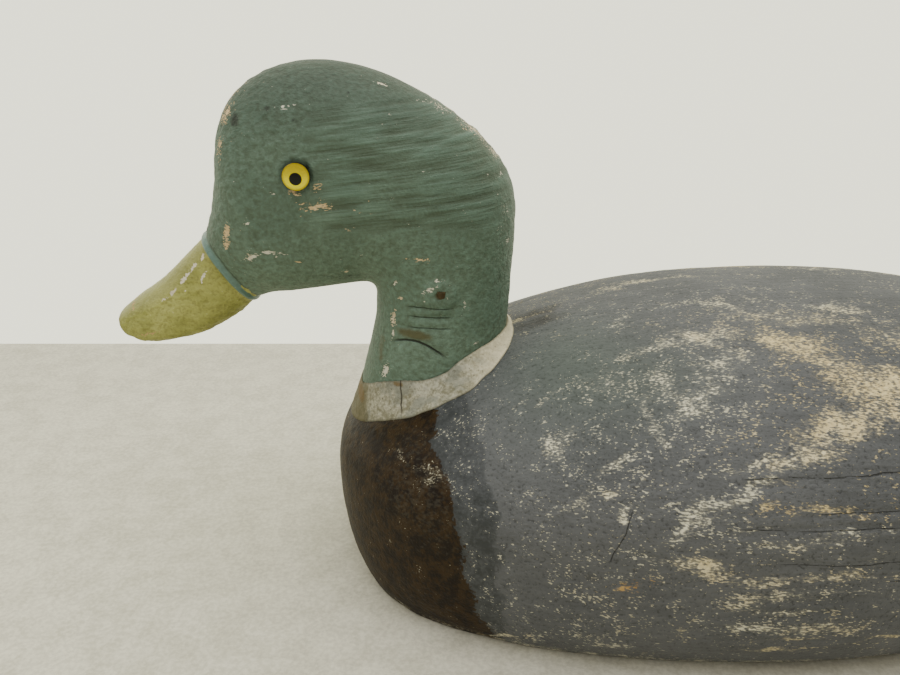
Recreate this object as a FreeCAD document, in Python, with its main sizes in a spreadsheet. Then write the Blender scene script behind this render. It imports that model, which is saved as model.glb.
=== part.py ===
import FreeCAD, Part
import math
import os
import Sketcher
from FreeCAD import Placement, Rotation, Vector

# Floating mallard drake decoy: a hollow two-piece wooden body, a head and neck block doweled and nailed to it,
# an inletted bill, glass eyes set in putty, a lead pad let into the bottom and a ring-and-staple line tie.
# Row frame: the bill points along -X, the tail along +X, +Z is up. The origin is on the flat bottom, under the back.

# name, value in millimetres or degrees, what it is
SIZES = [
    ("body_length", 325.0, "breast to tail tip"),
    ("body_width", 156.0, "across the body where it is widest"),
    ("back_height", 95.0, "flat bottom to the top of the back"),
    ("breast_front", -128.0, "x of the foremost point of the breast"),
    ("breast_run", 68.0, "length of the rounded breast, ahead of the long back"),
    ("seam_height", 38.0, "height of the glued seam between the two halves"),
    ("side_wall", 22.0, "wall beside the hollow"),
    ("top_wall", 16.0, "wood over the hollow"),
    ("bottom_wall", 20.0, "wood under the hollow"),
    ("hollow_front", 73.0, "breast to the front of the hollow"),
    ("hollow_length", 140.0, "length of the hollow"),
    ("neck_front", 5.5, "breast front to the front of the neck's foot"),
    ("neck_length", 51.0, "level length of the neck's foot"),
    ("neck_width", 47.0, "across the foot of the neck"),
    ("neck_rise", 45.4, "neck's foot up to the jaw corner"),
    ("neck_lean", 8.4, "front of the neck's foot back to the jaw corner"),
    ("seat_sink", 3.5, "how deep the neck seat is cut into the top of the body"),
    ("seat_end_margin", 1.5, "room for filler ahead of the neck and behind it"),
    ("seat_side_margin", 5.5, "room for filler beside the neck"),
    ("head_length", 92.0, "forehead to nape"),
    ("head_width", 48.0, "across the cheeks"),
    ("crown_rise", 68.0, "jaw corner to the crown"),
    ("bill_length", 41.0, "bill root to bill tip"),
    ("bill_width", 28.0, "across the bill near its tip"),
    ("joint_radius", 27.0, "curve of the head's rounded end, and of the bill coped to it"),
    ("joint_depth", 4.0, "how far that end reaches into the bill"),
    ("filler_height", 10.0, "filler, from the seat up the neck"),
    ("neck_dowel_radius", 6.35, "neck dowel"),
    ("neck_dowel_length", 68.0, "neck dowel"),
    ("neck_dowel_over", 4.0, "neck dowel's lower end above the seam"),
    ("neck_dowel_behind", 2.0, "neck dowel behind the middle of the seat"),
    ("bill_dowel_radius", 3.0, "bill dowel"),
    ("bill_dowel_length", 32.0, "bill dowel"),
    ("pin_front", 17.0, "front pair of pins ahead of the hollow"),
    ("pin_apart", 61.0, "between the front pair of pins"),
    ("pin_rear", 15.0, "rear pin behind the hollow"),
    ("pin_radius", 4.0, "dowel pins across the body seam"),
    ("pin_length", 22.0, "dowel pins across the body seam"),
    ("dowel_chamfer", 0.8, "all dowel ends"),
    ("glue_gap", 1.0, "room past a dowel's end"),
    ("nail_radius", 1.1, "finishing nails, shank"),
    ("nail_head_radius", 1.4, "finishing nails, head"),
    ("nail_head_height", 2.0, "finishing nails, head"),
    ("nail_point", 4.0, "finishing nails, point"),
    ("blunt_radius", 0.2, "blunt end of every nail, screw and staple point"),
    ("neck_nail_over", 7.0, "toe nail points above the seam"),
    ("neck_nail_behind", 4.5, "left toe nail behind the middle of the seat"),
    ("neck_nail_rise", 36.5, "left toe nail's head above the middle of the seat"),
    ("neck_nail_stagger", 3.3, "right toe nail further behind and lower than the left one"),
    ("neck_nail_slope", 17.0, "degrees that a toe nail leans inwards"),
    ("seam_nail_length", 46.0, "nails up through the bottom half"),
    ("seam_nail_front", 23.0, "front pair of nails ahead of the hollow"),
    ("seam_nail_rear", 9.0, "rear pair of nails behind the hollow"),
    ("seam_nail_edge", 17.0, "side nails in from the widest line"),
    ("seam_nail_inset", 28.0, "front and rear nails in from the widest line"),
    ("nail_sink", 3.0, "seam nail heads below the flat bottom"),
    ("eye_radius", 3.9, "glass eye"),
    ("eye_rim", 1.0, "straight rim of the glass eye"),
    ("eye_dome", 1.9, "height of the glass dome over its rim"),
    ("eye_proud", 1.7, "how far the eye stands out of the cheek"),
    ("iris_thickness", 0.4, "enamel behind the glass"),
    ("pupil_radius", 1.9, "pupil"),
    ("eye_ahead", 18.5, "jaw corner forwards to the eye"),
    ("eye_rise", 38.3, "jaw corner up to the eye"),
    ("putty_ring", 0.8, "putty between the eye and its bored socket"),
    ("socket_depth", 7.0, "bored eye socket"),
    ("eye_wire_radius", 0.5, "wire stem of the eye"),
    ("eye_wire_length", 9.0, "wire stem of the eye"),
    ("weight_length", 76.0, "lead pad"),
    ("weight_width", 32.0, "lead pad"),
    ("weight_thickness", 8.0, "lead pad"),
    ("weight_corner", 4.0, "lead pad corners"),
    ("weight_place", -2.0, "x of the middle of the lead pad"),
    ("weight_inset", 0.4, "lead pad above the flat bottom"),
    ("screw_spacing", 50.0, "between the two screws of the lead pad"),
    ("screw_length", 17.0, "flat-head screws"),
    ("screw_radius", 2.0, "flat-head screws, shank"),
    ("screw_head_radius", 4.0, "flat-head screws, head"),
    ("screw_head_height", 2.4, "flat-head screws, head"),
    ("screw_point", 4.0, "flat-head screws, point"),
    ("slot_width", 1.0, "screwdriver slot"),
    ("slot_depth", 1.0, "screwdriver slot"),
    ("tie_place", 38.0, "breast front to the staple"),
    ("pocket_depth", 10.0, "pocket around the line tie"),
    ("pocket_side", 1.8, "room beside the ring in the pocket"),
    ("pocket_ahead", 9.0, "pocket ahead of the staple"),
    ("pocket_end", 2.5, "room past the ring's end in the pocket"),
    ("pocket_corner", 3.0, "pocket corners"),
    ("staple_radius", 1.25, "staple wire"),
    ("staple_bend", 5.0, "radius of the staple's bend, at the wire's middle"),
    ("staple_foot", 2.2, "lowest point of the staple above the flat bottom"),
    ("staple_grip", 14.0, "staple legs in the wood"),
    ("staple_point", 3.0, "staple points"),
    ("ring_radius", 10.5, "ring, to the wire's middle"),
    ("ring_wire", 1.5, "ring wire"),
    ("ring_play", 0.4, "between the ring and the staple"),
    ("ring_floor", 0.3, "ring's free end above the surface the decoy stands on"),
]

# The carved forms are given at stations, each in percent of the sizes above.
# Body: run, half width, height of the widest point, height of the top, height of the bottom.
# A bottom below zero is sawn off by the flat bottom. The run is along the breast, then along the long back.
BREAST = [
    (0.0, 0.0, 35.8, 35.8, 35.8),
    (1.5, 16.0, 35.3, 46.3, 22.1),
    (8.1, 33.3, 34.2, 55.8, 6.3),
    (21.3, 51.3, 34.2, 63.7, -7.4),
    (39.7, 66.7, 35.8, 71.1, -13.7),
    (66.2, 80.1, 38.9, 79.8, -15.8),
    (100.0, 91.0, 42.1, 88.0, -16.3),
]
BACK = [
    (11.7, 98.1, 44.7, 95.8, -16.3),
    (25.3, 100.0, 45.8, 99.6, -16.3),
    (40.9, 94.9, 46.3, 100.0, -15.3),
    (56.4, 80.1, 47.4, 94.4, -11.6),
    (72.0, 57.7, 49.5, 82.2, 1.1),
    (85.6, 38.5, 55.3, 71.6, 28.4),
    (94.6, 29.5, 61.1, 70.0, 50.5),
    (98.6, 22.4, 65.3, 70.5, 60.0),
    (100.0, 0.0, 67.0, 67.0, 67.0),
]
UPPER_POWER = 2.15
LOWER_POWER = 2.9
# Head: a fan of sections about the jaw corner, from the bill round the crown to the nape. Each row is the section's
# inner point x and z, its outer point x and z, from the jaw corner in percent of head length and crown rise,
# then its half width and how far along the section it is widest.
HEAD = [
    (-46.2, -11.0, -62.3, 16.2, 52.0, 50.0),
    (-41.2, -7.0, -57.8, 23.8, 55.0, 50.0),
    (-35.2, -3.5, -53.9, 35.3, 71.0, 52.0),
    (-27.0, -2.1, -50.8, 51.5, 87.5, 52.0),
    (-18.8, -0.7, -49.1, 69.1, 95.8, 52.0),
    (-11.8, 0.6, -44.1, 84.6, 98.3, 52.0),
    (-6.4, 1.5, -33.9, 95.3, 100.0, 52.0),
    (-2.9, 1.8, -19.5, 100.3, 100.0, 52.0),
    (-0.8, 1.2, -0.5, 97.2, 100.0, 52.0),
    (0.1, -0.3, 18.9, 85.6, 100.0, 54.0),
    (0.3, -2.9, 36.3, 68.8, 98.8, 55.0),
    (0.1, -6.8, 46.7, 48.8, 97.1, 55.0),
]
# Neck: the front point's share of the way forward and of the way down to the seat, the back point's share of the
# neck's lean behind the seat and of the way down to it, half width, how far along the section it is widest.
NECK = [
    (2.4, 10.0, 22.0, 25.0, 97.0, 55.0),
    (19.0, 27.0, 16.0, 46.5, 95.7, 54.0),
    (50.0, 54.0, 10.0, 66.0, 97.9, 52.0),
    (100.0, 100.0, 0.0, 100.0, 100.0, 50.0),
]
# Neck filler: share of its height, share of the margin that it still has there.
FILLER = [(0.0, 97.0), (12.0, 97.0), (24.0, 95.0), (45.0, 66.0), (70.0, 30.0), (100.0, 8.0)]
HEAD_POWER = 2.3
# Bill: under point x and z, upper point x and z from the middle of its root, in percent of its length, then its half
# width and how far up the section it is widest.
BILL = [
    (29.5, -18.5, -7.5, 38.5, 108.0, 45.0),
    (18.5, -24.5, -18.0, 24.5, 89.0, 42.0),
    (8.5, -33.5, -29.9, 13.5, 89.5, 34.0),
    (-6.5, -43.5, -41.8, 1.8, 93.0, 29.0),
    (-24.5, -51.5, -54.1, -9.3, 97.0, 26.0),
    (-44.5, -55.0, -65.9, -17.5, 100.0, 26.0),
    (-61.5, -56.5, -76.7, -24.7, 97.0, 28.0),
    (-75.0, -54.5, -84.9, -31.3, 82.0, 34.0),
    (-84.5, -49.5, -89.5, -37.0, 52.0, 42.0),
    (-89.8, -43.5, -89.8, -43.5, 0.0, 50.0),
]
BILL_POWER = 2.4
SECTIONS = 34
AROUND = 32
HOLLOW_SECTIONS = 12
TIP = 0.004
EASE = 0.6
CLEAR = 20.0
UP = Vector(0, 0, 1)

doc = FreeCAD.newDocument("duck_decoy")
sheet = doc.addObject("Spreadsheet::Sheet", "sizes")
for row, (alias, value, note) in enumerate(SIZES, 1):
    sheet.set(f"A{row}", note)
    sheet.set(f"B{row}", str(value))
    sheet.setAlias(f"B{row}", alias)
doc.recompute()


def size(alias):
    return float(sheet.get(alias))


# --- carved forms -------------------------------------------------------------------------------------------------


def curve_through(rows, lengths):
    """A natural cubic spline through rows, each a list of numbers, at the running lengths given."""
    count = len(rows)
    steps = [b - a for a, b in zip(lengths, lengths[1:])]
    bends = []
    for column in zip(*rows):
        slopes = [(b - a) / h for a, b, h in zip(column, column[1:], steps)]
        upper, right = [0.0] * count, [0.0] * count
        for i in range(1, count - 1):
            pivot = 2 * (steps[i - 1] + steps[i]) - steps[i - 1] * upper[i - 1]
            upper[i] = steps[i] / pivot
            right[i] = (6 * (slopes[i] - slopes[i - 1]) - steps[i - 1] * right[i - 1]) / pivot
        bend = [0.0] * count
        for i in range(count - 2, 0, -1):
            bend[i] = right[i] - upper[i] * bend[i + 1]
        bends.append(bend)

    def at(length):
        k = 0
        while k < count - 2 and length > lengths[k + 1]:
            k += 1
        h = steps[k]
        a = (lengths[k + 1] - length) / h
        b = 1 - a
        found = []
        for column, bend in zip(zip(*rows), bends):
            straight = a * column[k] + b * column[k + 1]
            curved = ((a**3 - a) * bend[k] + (b**3 - b) * bend[k + 1]) * h * h / 6
            found.append(straight + curved)
        return found

    return at


def running_lengths(points):
    lengths = [0.0]
    for before, after in zip(points, points[1:]):
        lengths.append(lengths[-1] + math.dist(before, after))
    return lengths


def superellipse(power_up, power_down):
    """Points (across, up) round a unit superellipse, with its own power above and below the middle."""
    points = []
    for i in range(AROUND):
        turn = 2 * math.pi * i / AROUND
        power = 2 / (power_up if math.sin(turn) >= 0 else power_down)
        across = math.copysign(abs(math.cos(turn)) ** power, math.cos(turn))
        up = math.copysign(abs(math.sin(turn)) ** power, math.sin(turn))
        points.append((across, up))
    return points


ROUND = superellipse(2.4, 2.4)
ROUND_KNOTS = running_lengths(ROUND + ROUND[:1])


def smooth_loop(points):
    """A smooth closed curve. All sections share their knots, so that a skin over them stays light."""
    curve = Part.BSplineCurve()
    curve.interpolate(Points=points, PeriodicFlag=True, Parameters=ROUND_KNOTS)
    return curve


def skin(sections):
    """The solid inside a smooth skin over closed sections, with flat ends."""
    loops = [smooth_loop(points) for points in sections]
    middles = [sum(points, Vector()) / len(points) + (points[AROUND // 4] - points[0]) for points in sections]
    lengths = running_lengths(middles)
    lines = []
    for column in zip(*[loop.getPoles() for loop in loops]):
        line = Part.BSplineCurve()
        line.interpolate(Points=list(column), Parameters=lengths)
        lines.append(line)
    surface = Part.BSplineSurface()
    surface.buildFromPolesMultsKnots(
        [line.getPoles() for line in lines],
        loops[0].getMultiplicities(),
        lines[0].getMultiplicities(),
        loops[0].getKnots(),
        lines[0].getKnots(),
        True,
        False,
        loops[0].Degree,
        lines[0].Degree,
    )
    side = surface.toShape()
    ends = [Part.Face(Part.Wire([edge])) for edge in side.Edges if edge.isClosed() and not edge.isSeam(side)]
    shell = Part.makeShell([side] + ends)
    shell.sewShape()
    solid_form = Part.makeSolid(shell)
    if solid_form.Volume < 0:
        solid_form.reverse()
    return solid_form


def spread(first, last):
    """Positions from first to last, closer together at both ends."""
    places = []
    for i in range(SECTIONS):
        share = 0.5 - 0.5 * math.cos(math.pi * i / (SECTIONS - 1))
        places.append(first + (last - first) * (EASE * share + (1 - EASE) * i / (SECTIONS - 1)))
    return places


def body_rows():
    """Body stations in millimetres: x, half width, widest height, top, bottom."""
    run, rest = size("breast_run"), size("body_length") - size("breast_run")
    front, half, high = size("breast_front"), size("body_width") / 2, size("back_height")
    rows = []
    for stations, start, length in ((BREAST, front, run), (BACK, front + run, rest)):
        for along, width, widest, top, bottom in stations:
            heights = [high * share / 100 for share in (widest, top, bottom)]
            rows.append([start + length * along / 100, half * width / 100, *heights])
    return rows


BODY_ROWS = body_rows()
BODY_LENGTHS = running_lengths([(row[0], row[1], row[3]) for row in BODY_ROWS])
body_curve = curve_through(BODY_ROWS, BODY_LENGTHS)


def body_at(x):
    """The body station at x, found by halving."""
    low, high = 0.0, BODY_LENGTHS[-1]
    for _ in range(40):
        middle = (low + high) / 2
        if body_curve(middle)[0] < x:
            low = middle
        else:
            high = middle
    return body_curve(low)


def body_section(station, side=0.0, top=0.0):
    """Closed section of the body, drawn in by a wall at the sides and at the top."""
    x, half, widest, high, low = station
    points = []
    for across, up in superellipse(UPPER_POWER, LOWER_POWER):
        rise = (high - top - widest) if up >= 0 else (widest - low)
        points.append(Vector(x, (half - side) * across, widest + rise * up))
    return points


def fan_form(rows, power, first, last):
    """The solid through fanned sections: inner x, z, outer x, z, half width, share where widest."""
    middles = [((r[0] + 3 * r[2]) / 4, (r[1] + 3 * r[3]) / 4) for r in rows]
    lengths = running_lengths(middles)
    curve = curve_through(rows, lengths)
    sections = []
    for length in spread(first * lengths[-1], last * lengths[-1]):
        ix, iz, ox, oz, half, widest = curve(length)
        points = []
        for across, up in superellipse(power, power):
            along = widest + ((1 - widest) if up >= 0 else widest) * up
            points.append(Vector(ix + (ox - ix) * along, half * across, iz + (oz - iz) * along))
        sections.append(points)
    return skin(sections)


def on_seat(x):
    """The point of the neck seat at x, below the middle of the back."""
    return Vector(x, 0, body_at(x)[3] - size("seat_sink"))


seat_front = on_seat(size("breast_front") + size("neck_front"))
seat_back = on_seat(seat_front.x + size("neck_length"))
seat_middle = (seat_front + seat_back) / 2
seat_along = (seat_back - seat_front).normalize()
jaw_corner = seat_front + Vector(size("neck_lean"), 0, size("neck_rise"))


def head_rows():
    """Head and neck sections in millimetres, from the bill to the seat."""
    long, high = size("head_length") / 100, size("crown_rise") / 100
    half, foot = size("head_width") / 200, size("neck_width") / 200
    rows = []
    for ix, iz, ox, oz, width, widest in HEAD:
        inner = [jaw_corner.x + ix * long, jaw_corner.z + iz * high]
        outer = [jaw_corner.x + ox * long, jaw_corner.z + oz * high]
        rows.append([*inner, *outer, width * half, widest / 100])
    front_x, front_z, _, back_z = rows[-1][:4]
    for forward, down, behind, back_down, width, widest in NECK:
        inner = [front_x + (seat_front.x - front_x) * forward / 100, front_z + (seat_front.z - front_z) * down / 100]
        outer_x = seat_back.x + size("neck_lean") * behind / 100
        outer_z = back_z + (seat_back.z - back_z) * back_down / 100
        rows.append([*inner, outer_x, outer_z, width * foot, widest / 100])
    return rows


HEAD_ROWS = head_rows()
chin = Vector(HEAD_ROWS[1][0], 0, HEAD_ROWS[1][1])
brow = Vector(HEAD_ROWS[1][2], 0, HEAD_ROWS[1][3])
root_middle = (chin + brow) / 2
bill_out = Vector(-(brow - chin).z, 0, (brow - chin).x).normalize()
joint_middle = root_middle - bill_out * (size("joint_radius") - size("joint_depth"))


def bill_rows():
    """Bill sections in millimetres, from inside the head to the tip."""
    long, half = size("bill_length") / 100, size("bill_width") / 200
    rows = []
    for ix, iz, ox, oz, width, widest in BILL:
        inner = [root_middle.x + ix * long, root_middle.z + iz * long]
        outer = [root_middle.x + ox * long, root_middle.z + oz * long]
        rows.append([*inner, *outer, width * half, widest / 100])
    return rows


def carved(name, shape):
    """A carved form, which no primitive or sketch gives, as a feature of its own."""
    form = doc.addObject("Part::Feature", name)
    form.Shape = shape
    return form


body_places = spread(TIP * BODY_LENGTHS[-1], (1 - TIP) * BODY_LENGTHS[-1])
body_form = carved("body_form", skin([body_section(body_curve(place)) for place in body_places]))
head_form = carved("head_form", fan_form(HEAD_ROWS, HEAD_POWER, 0.0, 1.0))
bill_form = carved("bill_form", fan_form(bill_rows(), BILL_POWER, 0.0, 1 - 2 * TIP))

hollow_first = size("breast_front") + size("hollow_front")
hollow_step = size("hollow_length") / (HOLLOW_SECTIONS - 1)
hollow_stations = [body_at(hollow_first + hollow_step * i) for i in range(HOLLOW_SECTIONS)]
hollow_form = carved(
    "hollow_form",
    skin([body_section(s, size("side_wall"), size("top_wall")) for s in hollow_stations]),
)


# --- parametric pieces --------------------------------------------------------------------------------------------


def bind(item, **expressions):
    for prop, expression in expressions.items():
        item.setExpression(prop.replace("__", "."), expression)
    return item


def solid(kind, name, place=None, **expressions):
    """A Part primitive whose sizes are expressions on the sheet."""
    item = doc.addObject("Part::" + kind, name)
    if place is not None:
        item.Placement = place
    return bind(item, **expressions)


def joined(name, items):
    item = doc.addObject("Part::MultiFuse", name)
    item.Shapes = items
    return item


def group(label, items):
    """One node of several separate solids."""
    item = doc.addObject("Part::Compound", label)
    item.Links = items
    return item


def cut(name, base, tools):
    """base without each of the tools in turn."""
    for number, tool in enumerate(tools, 1):
        last = number == len(tools)
        item = doc.addObject("Part::Cut", name if last else f"{name}_cut_{number}")
        item.Base = base
        item.Tool = tool
        base = item
    return item


def shared(name, one, other):
    item = doc.addObject("Part::MultiCommon", name)
    item.Shapes = [one, other]
    return item


def on_plane(body, sketch, role):
    plane = next(f for f in body.Origin.OriginFeatures if f.Role == role)
    sketch.AttachmentSupport = (plane, [""])
    sketch.MapMode = "FlatFace"


def turned_dowel(name, radius, length, place):
    """A dowel: a padded circle with both ends chamfered."""
    body = doc.addObject("PartDesign::Body", name)
    sketch = body.newObject("Sketcher::SketchObject", name + "_circle")
    on_plane(body, sketch, "XY_Plane")
    circle = sketch.addGeometry(Part.Circle(Vector(0, 0, 0), Vector(0, 0, 1), size(radius)))
    sketch.addConstraint(Sketcher.Constraint("Coincident", circle, 3, -1, 1))
    mark = sketch.addConstraint(Sketcher.Constraint("Radius", circle, size(radius)))
    sketch.setExpression(f"Constraints[{mark}]", "sizes." + radius)
    pad = body.newObject("PartDesign::Pad", name + "_pad")
    pad.Profile = sketch
    bind(pad, Length="sizes." + length)
    doc.recompute()
    chamfer = body.newObject("PartDesign::Chamfer", name + "_ends")
    rims = [f"Edge{i}" for i, edge in enumerate(pad.Shape.Edges, 1) if edge.isClosed()]
    chamfer.Base = (pad, rims)
    bind(chamfer, Size="sizes.dowel_chamfer")
    body.Placement = place
    return body


def dowel_bore(name, radius, length, place):
    """The hole for a dowel, with room for glue past both ends."""
    room = Placement(Vector(0, 0, -size("glue_gap")), Rotation())
    return solid(
        "Cylinder", name, place.multiply(room), Radius="sizes." + radius, Height=f"sizes.{length} + 2 * sizes.glue_gap"
    )


def nail(name, length, place):
    """A finishing nail that points along its own +Z, with its head at its origin."""
    head = solid("Cylinder", name + "_head", Radius="sizes.nail_head_radius", Height="sizes.nail_head_height")
    straight = f"{length} - sizes.nail_point"
    shank = solid("Cylinder", name + "_shank", Radius="sizes.nail_radius", Height=straight)
    point = solid(
        "Cone",
        name + "_point",
        Radius1="sizes.nail_radius",
        Radius2="sizes.blunt_radius",
        Height="sizes.nail_point",
        Placement__Base__z=straight,
    )
    made = joined(name, [head, shank, point])
    made.Placement = place
    return made


def aimed(start, direction):
    """The placement that puts the origin at start and turns +Z to direction."""
    return Placement(start, Rotation(Vector(0, 0, 1), direction))


# --- head, neck and bill ------------------------------------------------------------------------------------------

dowel_foot = Vector(seat_middle.x + size("neck_dowel_behind"), 0, size("seam_height") + size("neck_dowel_over"))
dowel_place = aimed(dowel_foot, UP)
neck_dowel = turned_dowel("neck_dowel", "neck_dowel_radius", "neck_dowel_length", dowel_place)
neck_bore = dowel_bore("neck_bore", "neck_dowel_radius", "neck_dowel_length", dowel_place)

bill_dowel_start = root_middle - bill_out * (size("bill_dowel_length") / 2 - size("joint_depth"))
bill_dowel_place = aimed(bill_dowel_start, bill_out)
bill_dowel = turned_dowel("bill_dowel", "bill_dowel_radius", "bill_dowel_length", bill_dowel_place)
bill_bore = dowel_bore("bill_bore", "bill_dowel_radius", "bill_dowel_length", bill_dowel_place)

joint_place = Placement(joint_middle + Vector(0, size("head_width"), 0), Rotation(Vector(1, 0, 0), 90))
joint_round = solid(
    "Cylinder", "joint_round", joint_place, Radius="sizes.joint_radius", Height="2 * sizes.head_width"
)
joint_turn = Rotation(Vector(1, 0, 0), bill_out)
joint_corner = root_middle - joint_turn.multVec(Vector(0, size("head_width"), size("head_width")))
joint_room = solid(
    "Box",
    "joint_room",
    Placement(joint_corner, joint_turn),
    Length="2 * sizes.bill_length",
    Width="2 * sizes.head_width",
    Height="2 * sizes.head_width",
)
bill_room = cut("bill_room", joint_room, [joint_round])
bill = cut("bill", shared("bill_blank", bill_form, bill_room), [bill_bore])


def half_width_at(shape, x, z):
    """Half the width of a form where a line across it meets its skin."""
    reach = size("body_width")
    line = Part.makeLine(Vector(x, -reach, z), Vector(x, reach, z))
    return shape.common(line).BoundBox.YMax


def toe_nail(name, side, behind, rise):
    """A nail through the side of the neck, behind and above the seat's middle, leaning inwards into the body."""
    x = seat_middle.x + behind
    z = seat_middle.z + rise
    lean = math.radians(size("neck_nail_slope"))
    direction = Vector(0, -side * math.sin(lean), -math.cos(lean))
    start = Vector(x, side * half_width_at(head_form.Shape, x, z), z)
    length = f"({z} - sizes.seam_height - sizes.neck_nail_over) / cos(sizes.neck_nail_slope)"
    return nail(name, length, aimed(start, direction))


nail_behind, nail_rise, stagger = (size("neck_nail_" + word) for word in ("behind", "rise", "stagger"))
neck_nail_pair = [
    toe_nail("neck_nail_left", -1, nail_behind, nail_rise),
    toe_nail("neck_nail_right", 1, nail_behind + stagger, nail_rise - stagger),
]
neck_nails = group("neck_nails", neck_nail_pair)

eye_x = jaw_corner.x - size("eye_ahead")
eye_z = jaw_corner.z + size("eye_rise")
cheek = half_width_at(head_form.Shape, eye_x, eye_z)


def eye_set(word, side):
    """Glass, iris, pupil, wire and putty of one eye, built along +Z and laid in the socket along the cheek's Y."""
    lie = Rotation(Vector(1, 0, 0), -90 * side)
    back = cheek + size("eye_proud") - size("eye_dome") - size("eye_rim")
    place = Placement(Vector(eye_x, side * back, eye_z), lie)
    dome_radius = "((sizes.eye_radius ^ 2 + sizes.eye_dome ^ 2) / (2 * sizes.eye_dome))"

    disc = solid("Cylinder", f"eye_disc_{word}", Radius="sizes.eye_radius", Height="sizes.eye_rim + sizes.eye_dome")
    ball = solid("Sphere", f"eye_ball_{word}", Radius=dome_radius)
    bind(ball, Placement__Base__z=f"sizes.eye_rim + sizes.eye_dome - {dome_radius}")
    glass = shared(f"eye_glass_{word}", disc, ball)
    glass.Placement = place

    under = place.multiply(Placement(Vector(0, 0, -size("iris_thickness")), Rotation()))
    plate = solid("Cylinder", f"iris_plate_{word}", Radius="sizes.eye_radius", Height="sizes.iris_thickness")
    hole = solid("Cylinder", f"iris_hole_{word}", Radius="sizes.pupil_radius", Height="sizes.iris_thickness")
    iris = cut(f"eye_iris_{word}", plate, [hole])
    iris.Placement = under
    pupil = solid(
        "Cylinder", f"eye_pupil_{word}", under, Radius="sizes.pupil_radius", Height="sizes.iris_thickness"
    )

    stem = place.multiply(Placement(Vector(0, 0, -size("iris_thickness") - size("eye_wire_length")), Rotation()))
    wire = solid("Cylinder", f"eye_wire_{word}", stem, Radius="sizes.eye_wire_radius", Height="sizes.eye_wire_length")

    socket_floor = Placement(Vector(eye_x, side * (cheek - size("socket_depth")), eye_z), lie)
    return glass, iris, pupil, wire, socket_floor


eyes = {}
eye_cuts = []
for word, side in (("left", -1), ("right", 1)):
    glass, iris, pupil, wire, floor = eye_set(word, side)
    bore = "sizes.eye_radius + sizes.putty_ring"
    socket = solid("Cylinder", f"socket_{word}", floor, Radius=bore, Height="sizes.head_width / 2")
    room = solid(
        "Cylinder", f"glass_room_{word}", iris.Placement, Radius="sizes.eye_radius", Height="sizes.head_width / 2"
    )
    putty = cut(f"eye_putty_{word}", shared(f"putty_in_{word}", socket, head_form), [room, wire])
    eyes[word] = [glass, iris, pupil, wire, putty]
    eye_cuts += [socket, wire]

head_block = cut("head_block", head_form, [bill_room, neck_bore, bill_bore] + neck_nail_pair + eye_cuts)


def seat_ring(margin, lift):
    """The neck's foot, widened by a share of its margins and lifted off the seat, as a closed section."""
    half_length = (seat_back - seat_front).Length / 2 + margin * size("seat_end_margin")
    half_width = size("neck_width") / 2 + margin * size("seat_side_margin")
    middle = seat_middle + Vector(0, 0, lift)
    ring = superellipse(HEAD_POWER, HEAD_POWER)
    return [middle + seat_along * (half_length * up) + Vector(0, half_width * across, 0) for across, up in ring]


seat_cutter = carved("seat_cutter", skin([seat_ring(1.0, CLEAR * i) for i in range(4)]))
filler_rings = [seat_ring(share / 100, size("filler_height") * up / 100) for up, share in FILLER]
filler_blank = carved("filler_blank", skin(filler_rings))
neck_filler = cut("neck_filler", filler_blank, [head_form])

# --- body ---------------------------------------------------------------------------------------------------------

reach = "sizes.body_length * 2"
upper_room = solid("Box", "upper_room", Length=reach, Width=reach, Height="sizes.back_height * 2")
bind(
    upper_room,
    Placement__Base__x="-sizes.body_length",
    Placement__Base__y="-sizes.body_length",
    Placement__Base__z="sizes.seam_height",
)
lower_room = solid("Box", "lower_room", Length=reach, Width=reach, Height="sizes.seam_height")
bind(lower_room, Placement__Base__x="-sizes.body_length", Placement__Base__y="-sizes.body_length")
floor_room = solid("Box", "floor_room", Length=reach, Width=reach, Height="sizes.back_height * 2")
bind(
    floor_room,
    Placement__Base__x="-sizes.body_length",
    Placement__Base__y="-sizes.body_length",
    Placement__Base__z="sizes.bottom_wall",
)
hollow = shared("hollow", hollow_form, floor_room)

hollow_last = hollow_first + size("hollow_length")


def seam_nail(name, x, inset, side):
    """A nail up through the bottom half, with its head sunk in the flat bottom."""
    start = Vector(x, side * (body_at(x)[1] - inset), size("nail_sink"))
    return nail(name, "sizes.seam_nail_length", aimed(start, UP))


nail_rows = [
    (hollow_first - size("seam_nail_front"), size("seam_nail_inset")),
    ((hollow_first + hollow_last) / 2, size("seam_nail_edge")),
    (hollow_last + size("seam_nail_rear"), size("seam_nail_inset")),
]
seam_nails = []
for number, (x, inset) in enumerate(nail_rows, 1):
    seam_nails.append(seam_nail(f"seam_nail_{number}_left", x, inset, -1))
    seam_nails.append(seam_nail(f"seam_nail_{number}_right", x, inset, 1))

pin_foot = size("seam_height") - size("pin_length") / 2
pin_feet = [
    Vector(hollow_first - size("pin_front"), -size("pin_apart") / 2, pin_foot),
    Vector(hollow_first - size("pin_front"), size("pin_apart") / 2, pin_foot),
    Vector(hollow_last + size("pin_rear"), 0, pin_foot),
]
seam_pins = []
pin_bores = []
for number, foot in enumerate(pin_feet, 1):
    seam_pins.append(turned_dowel(f"seam_pin_{number}", "pin_radius", "pin_length", aimed(foot, UP)))
    pin_bores.append(dowel_bore(f"seam_pin_bore_{number}", "pin_radius", "pin_length", aimed(foot, UP)))
seam_nail_group = group("seam_nails", seam_nails)
seam_pin_group = group("seam_pins", seam_pins)
seam_bores = group("seam_bores", pin_bores)

sink_plugs = []
for item in seam_nails:
    foot = item.Placement.Base
    base = Placement(Vector(foot.x, foot.y, 0), Rotation())
    sink_plugs.append(
        solid("Cylinder", item.Name + "_plug", base, Radius="sizes.nail_head_radius", Height="sizes.nail_sink")
    )
nail_putty = group("nail_putty", sink_plugs)

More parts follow.
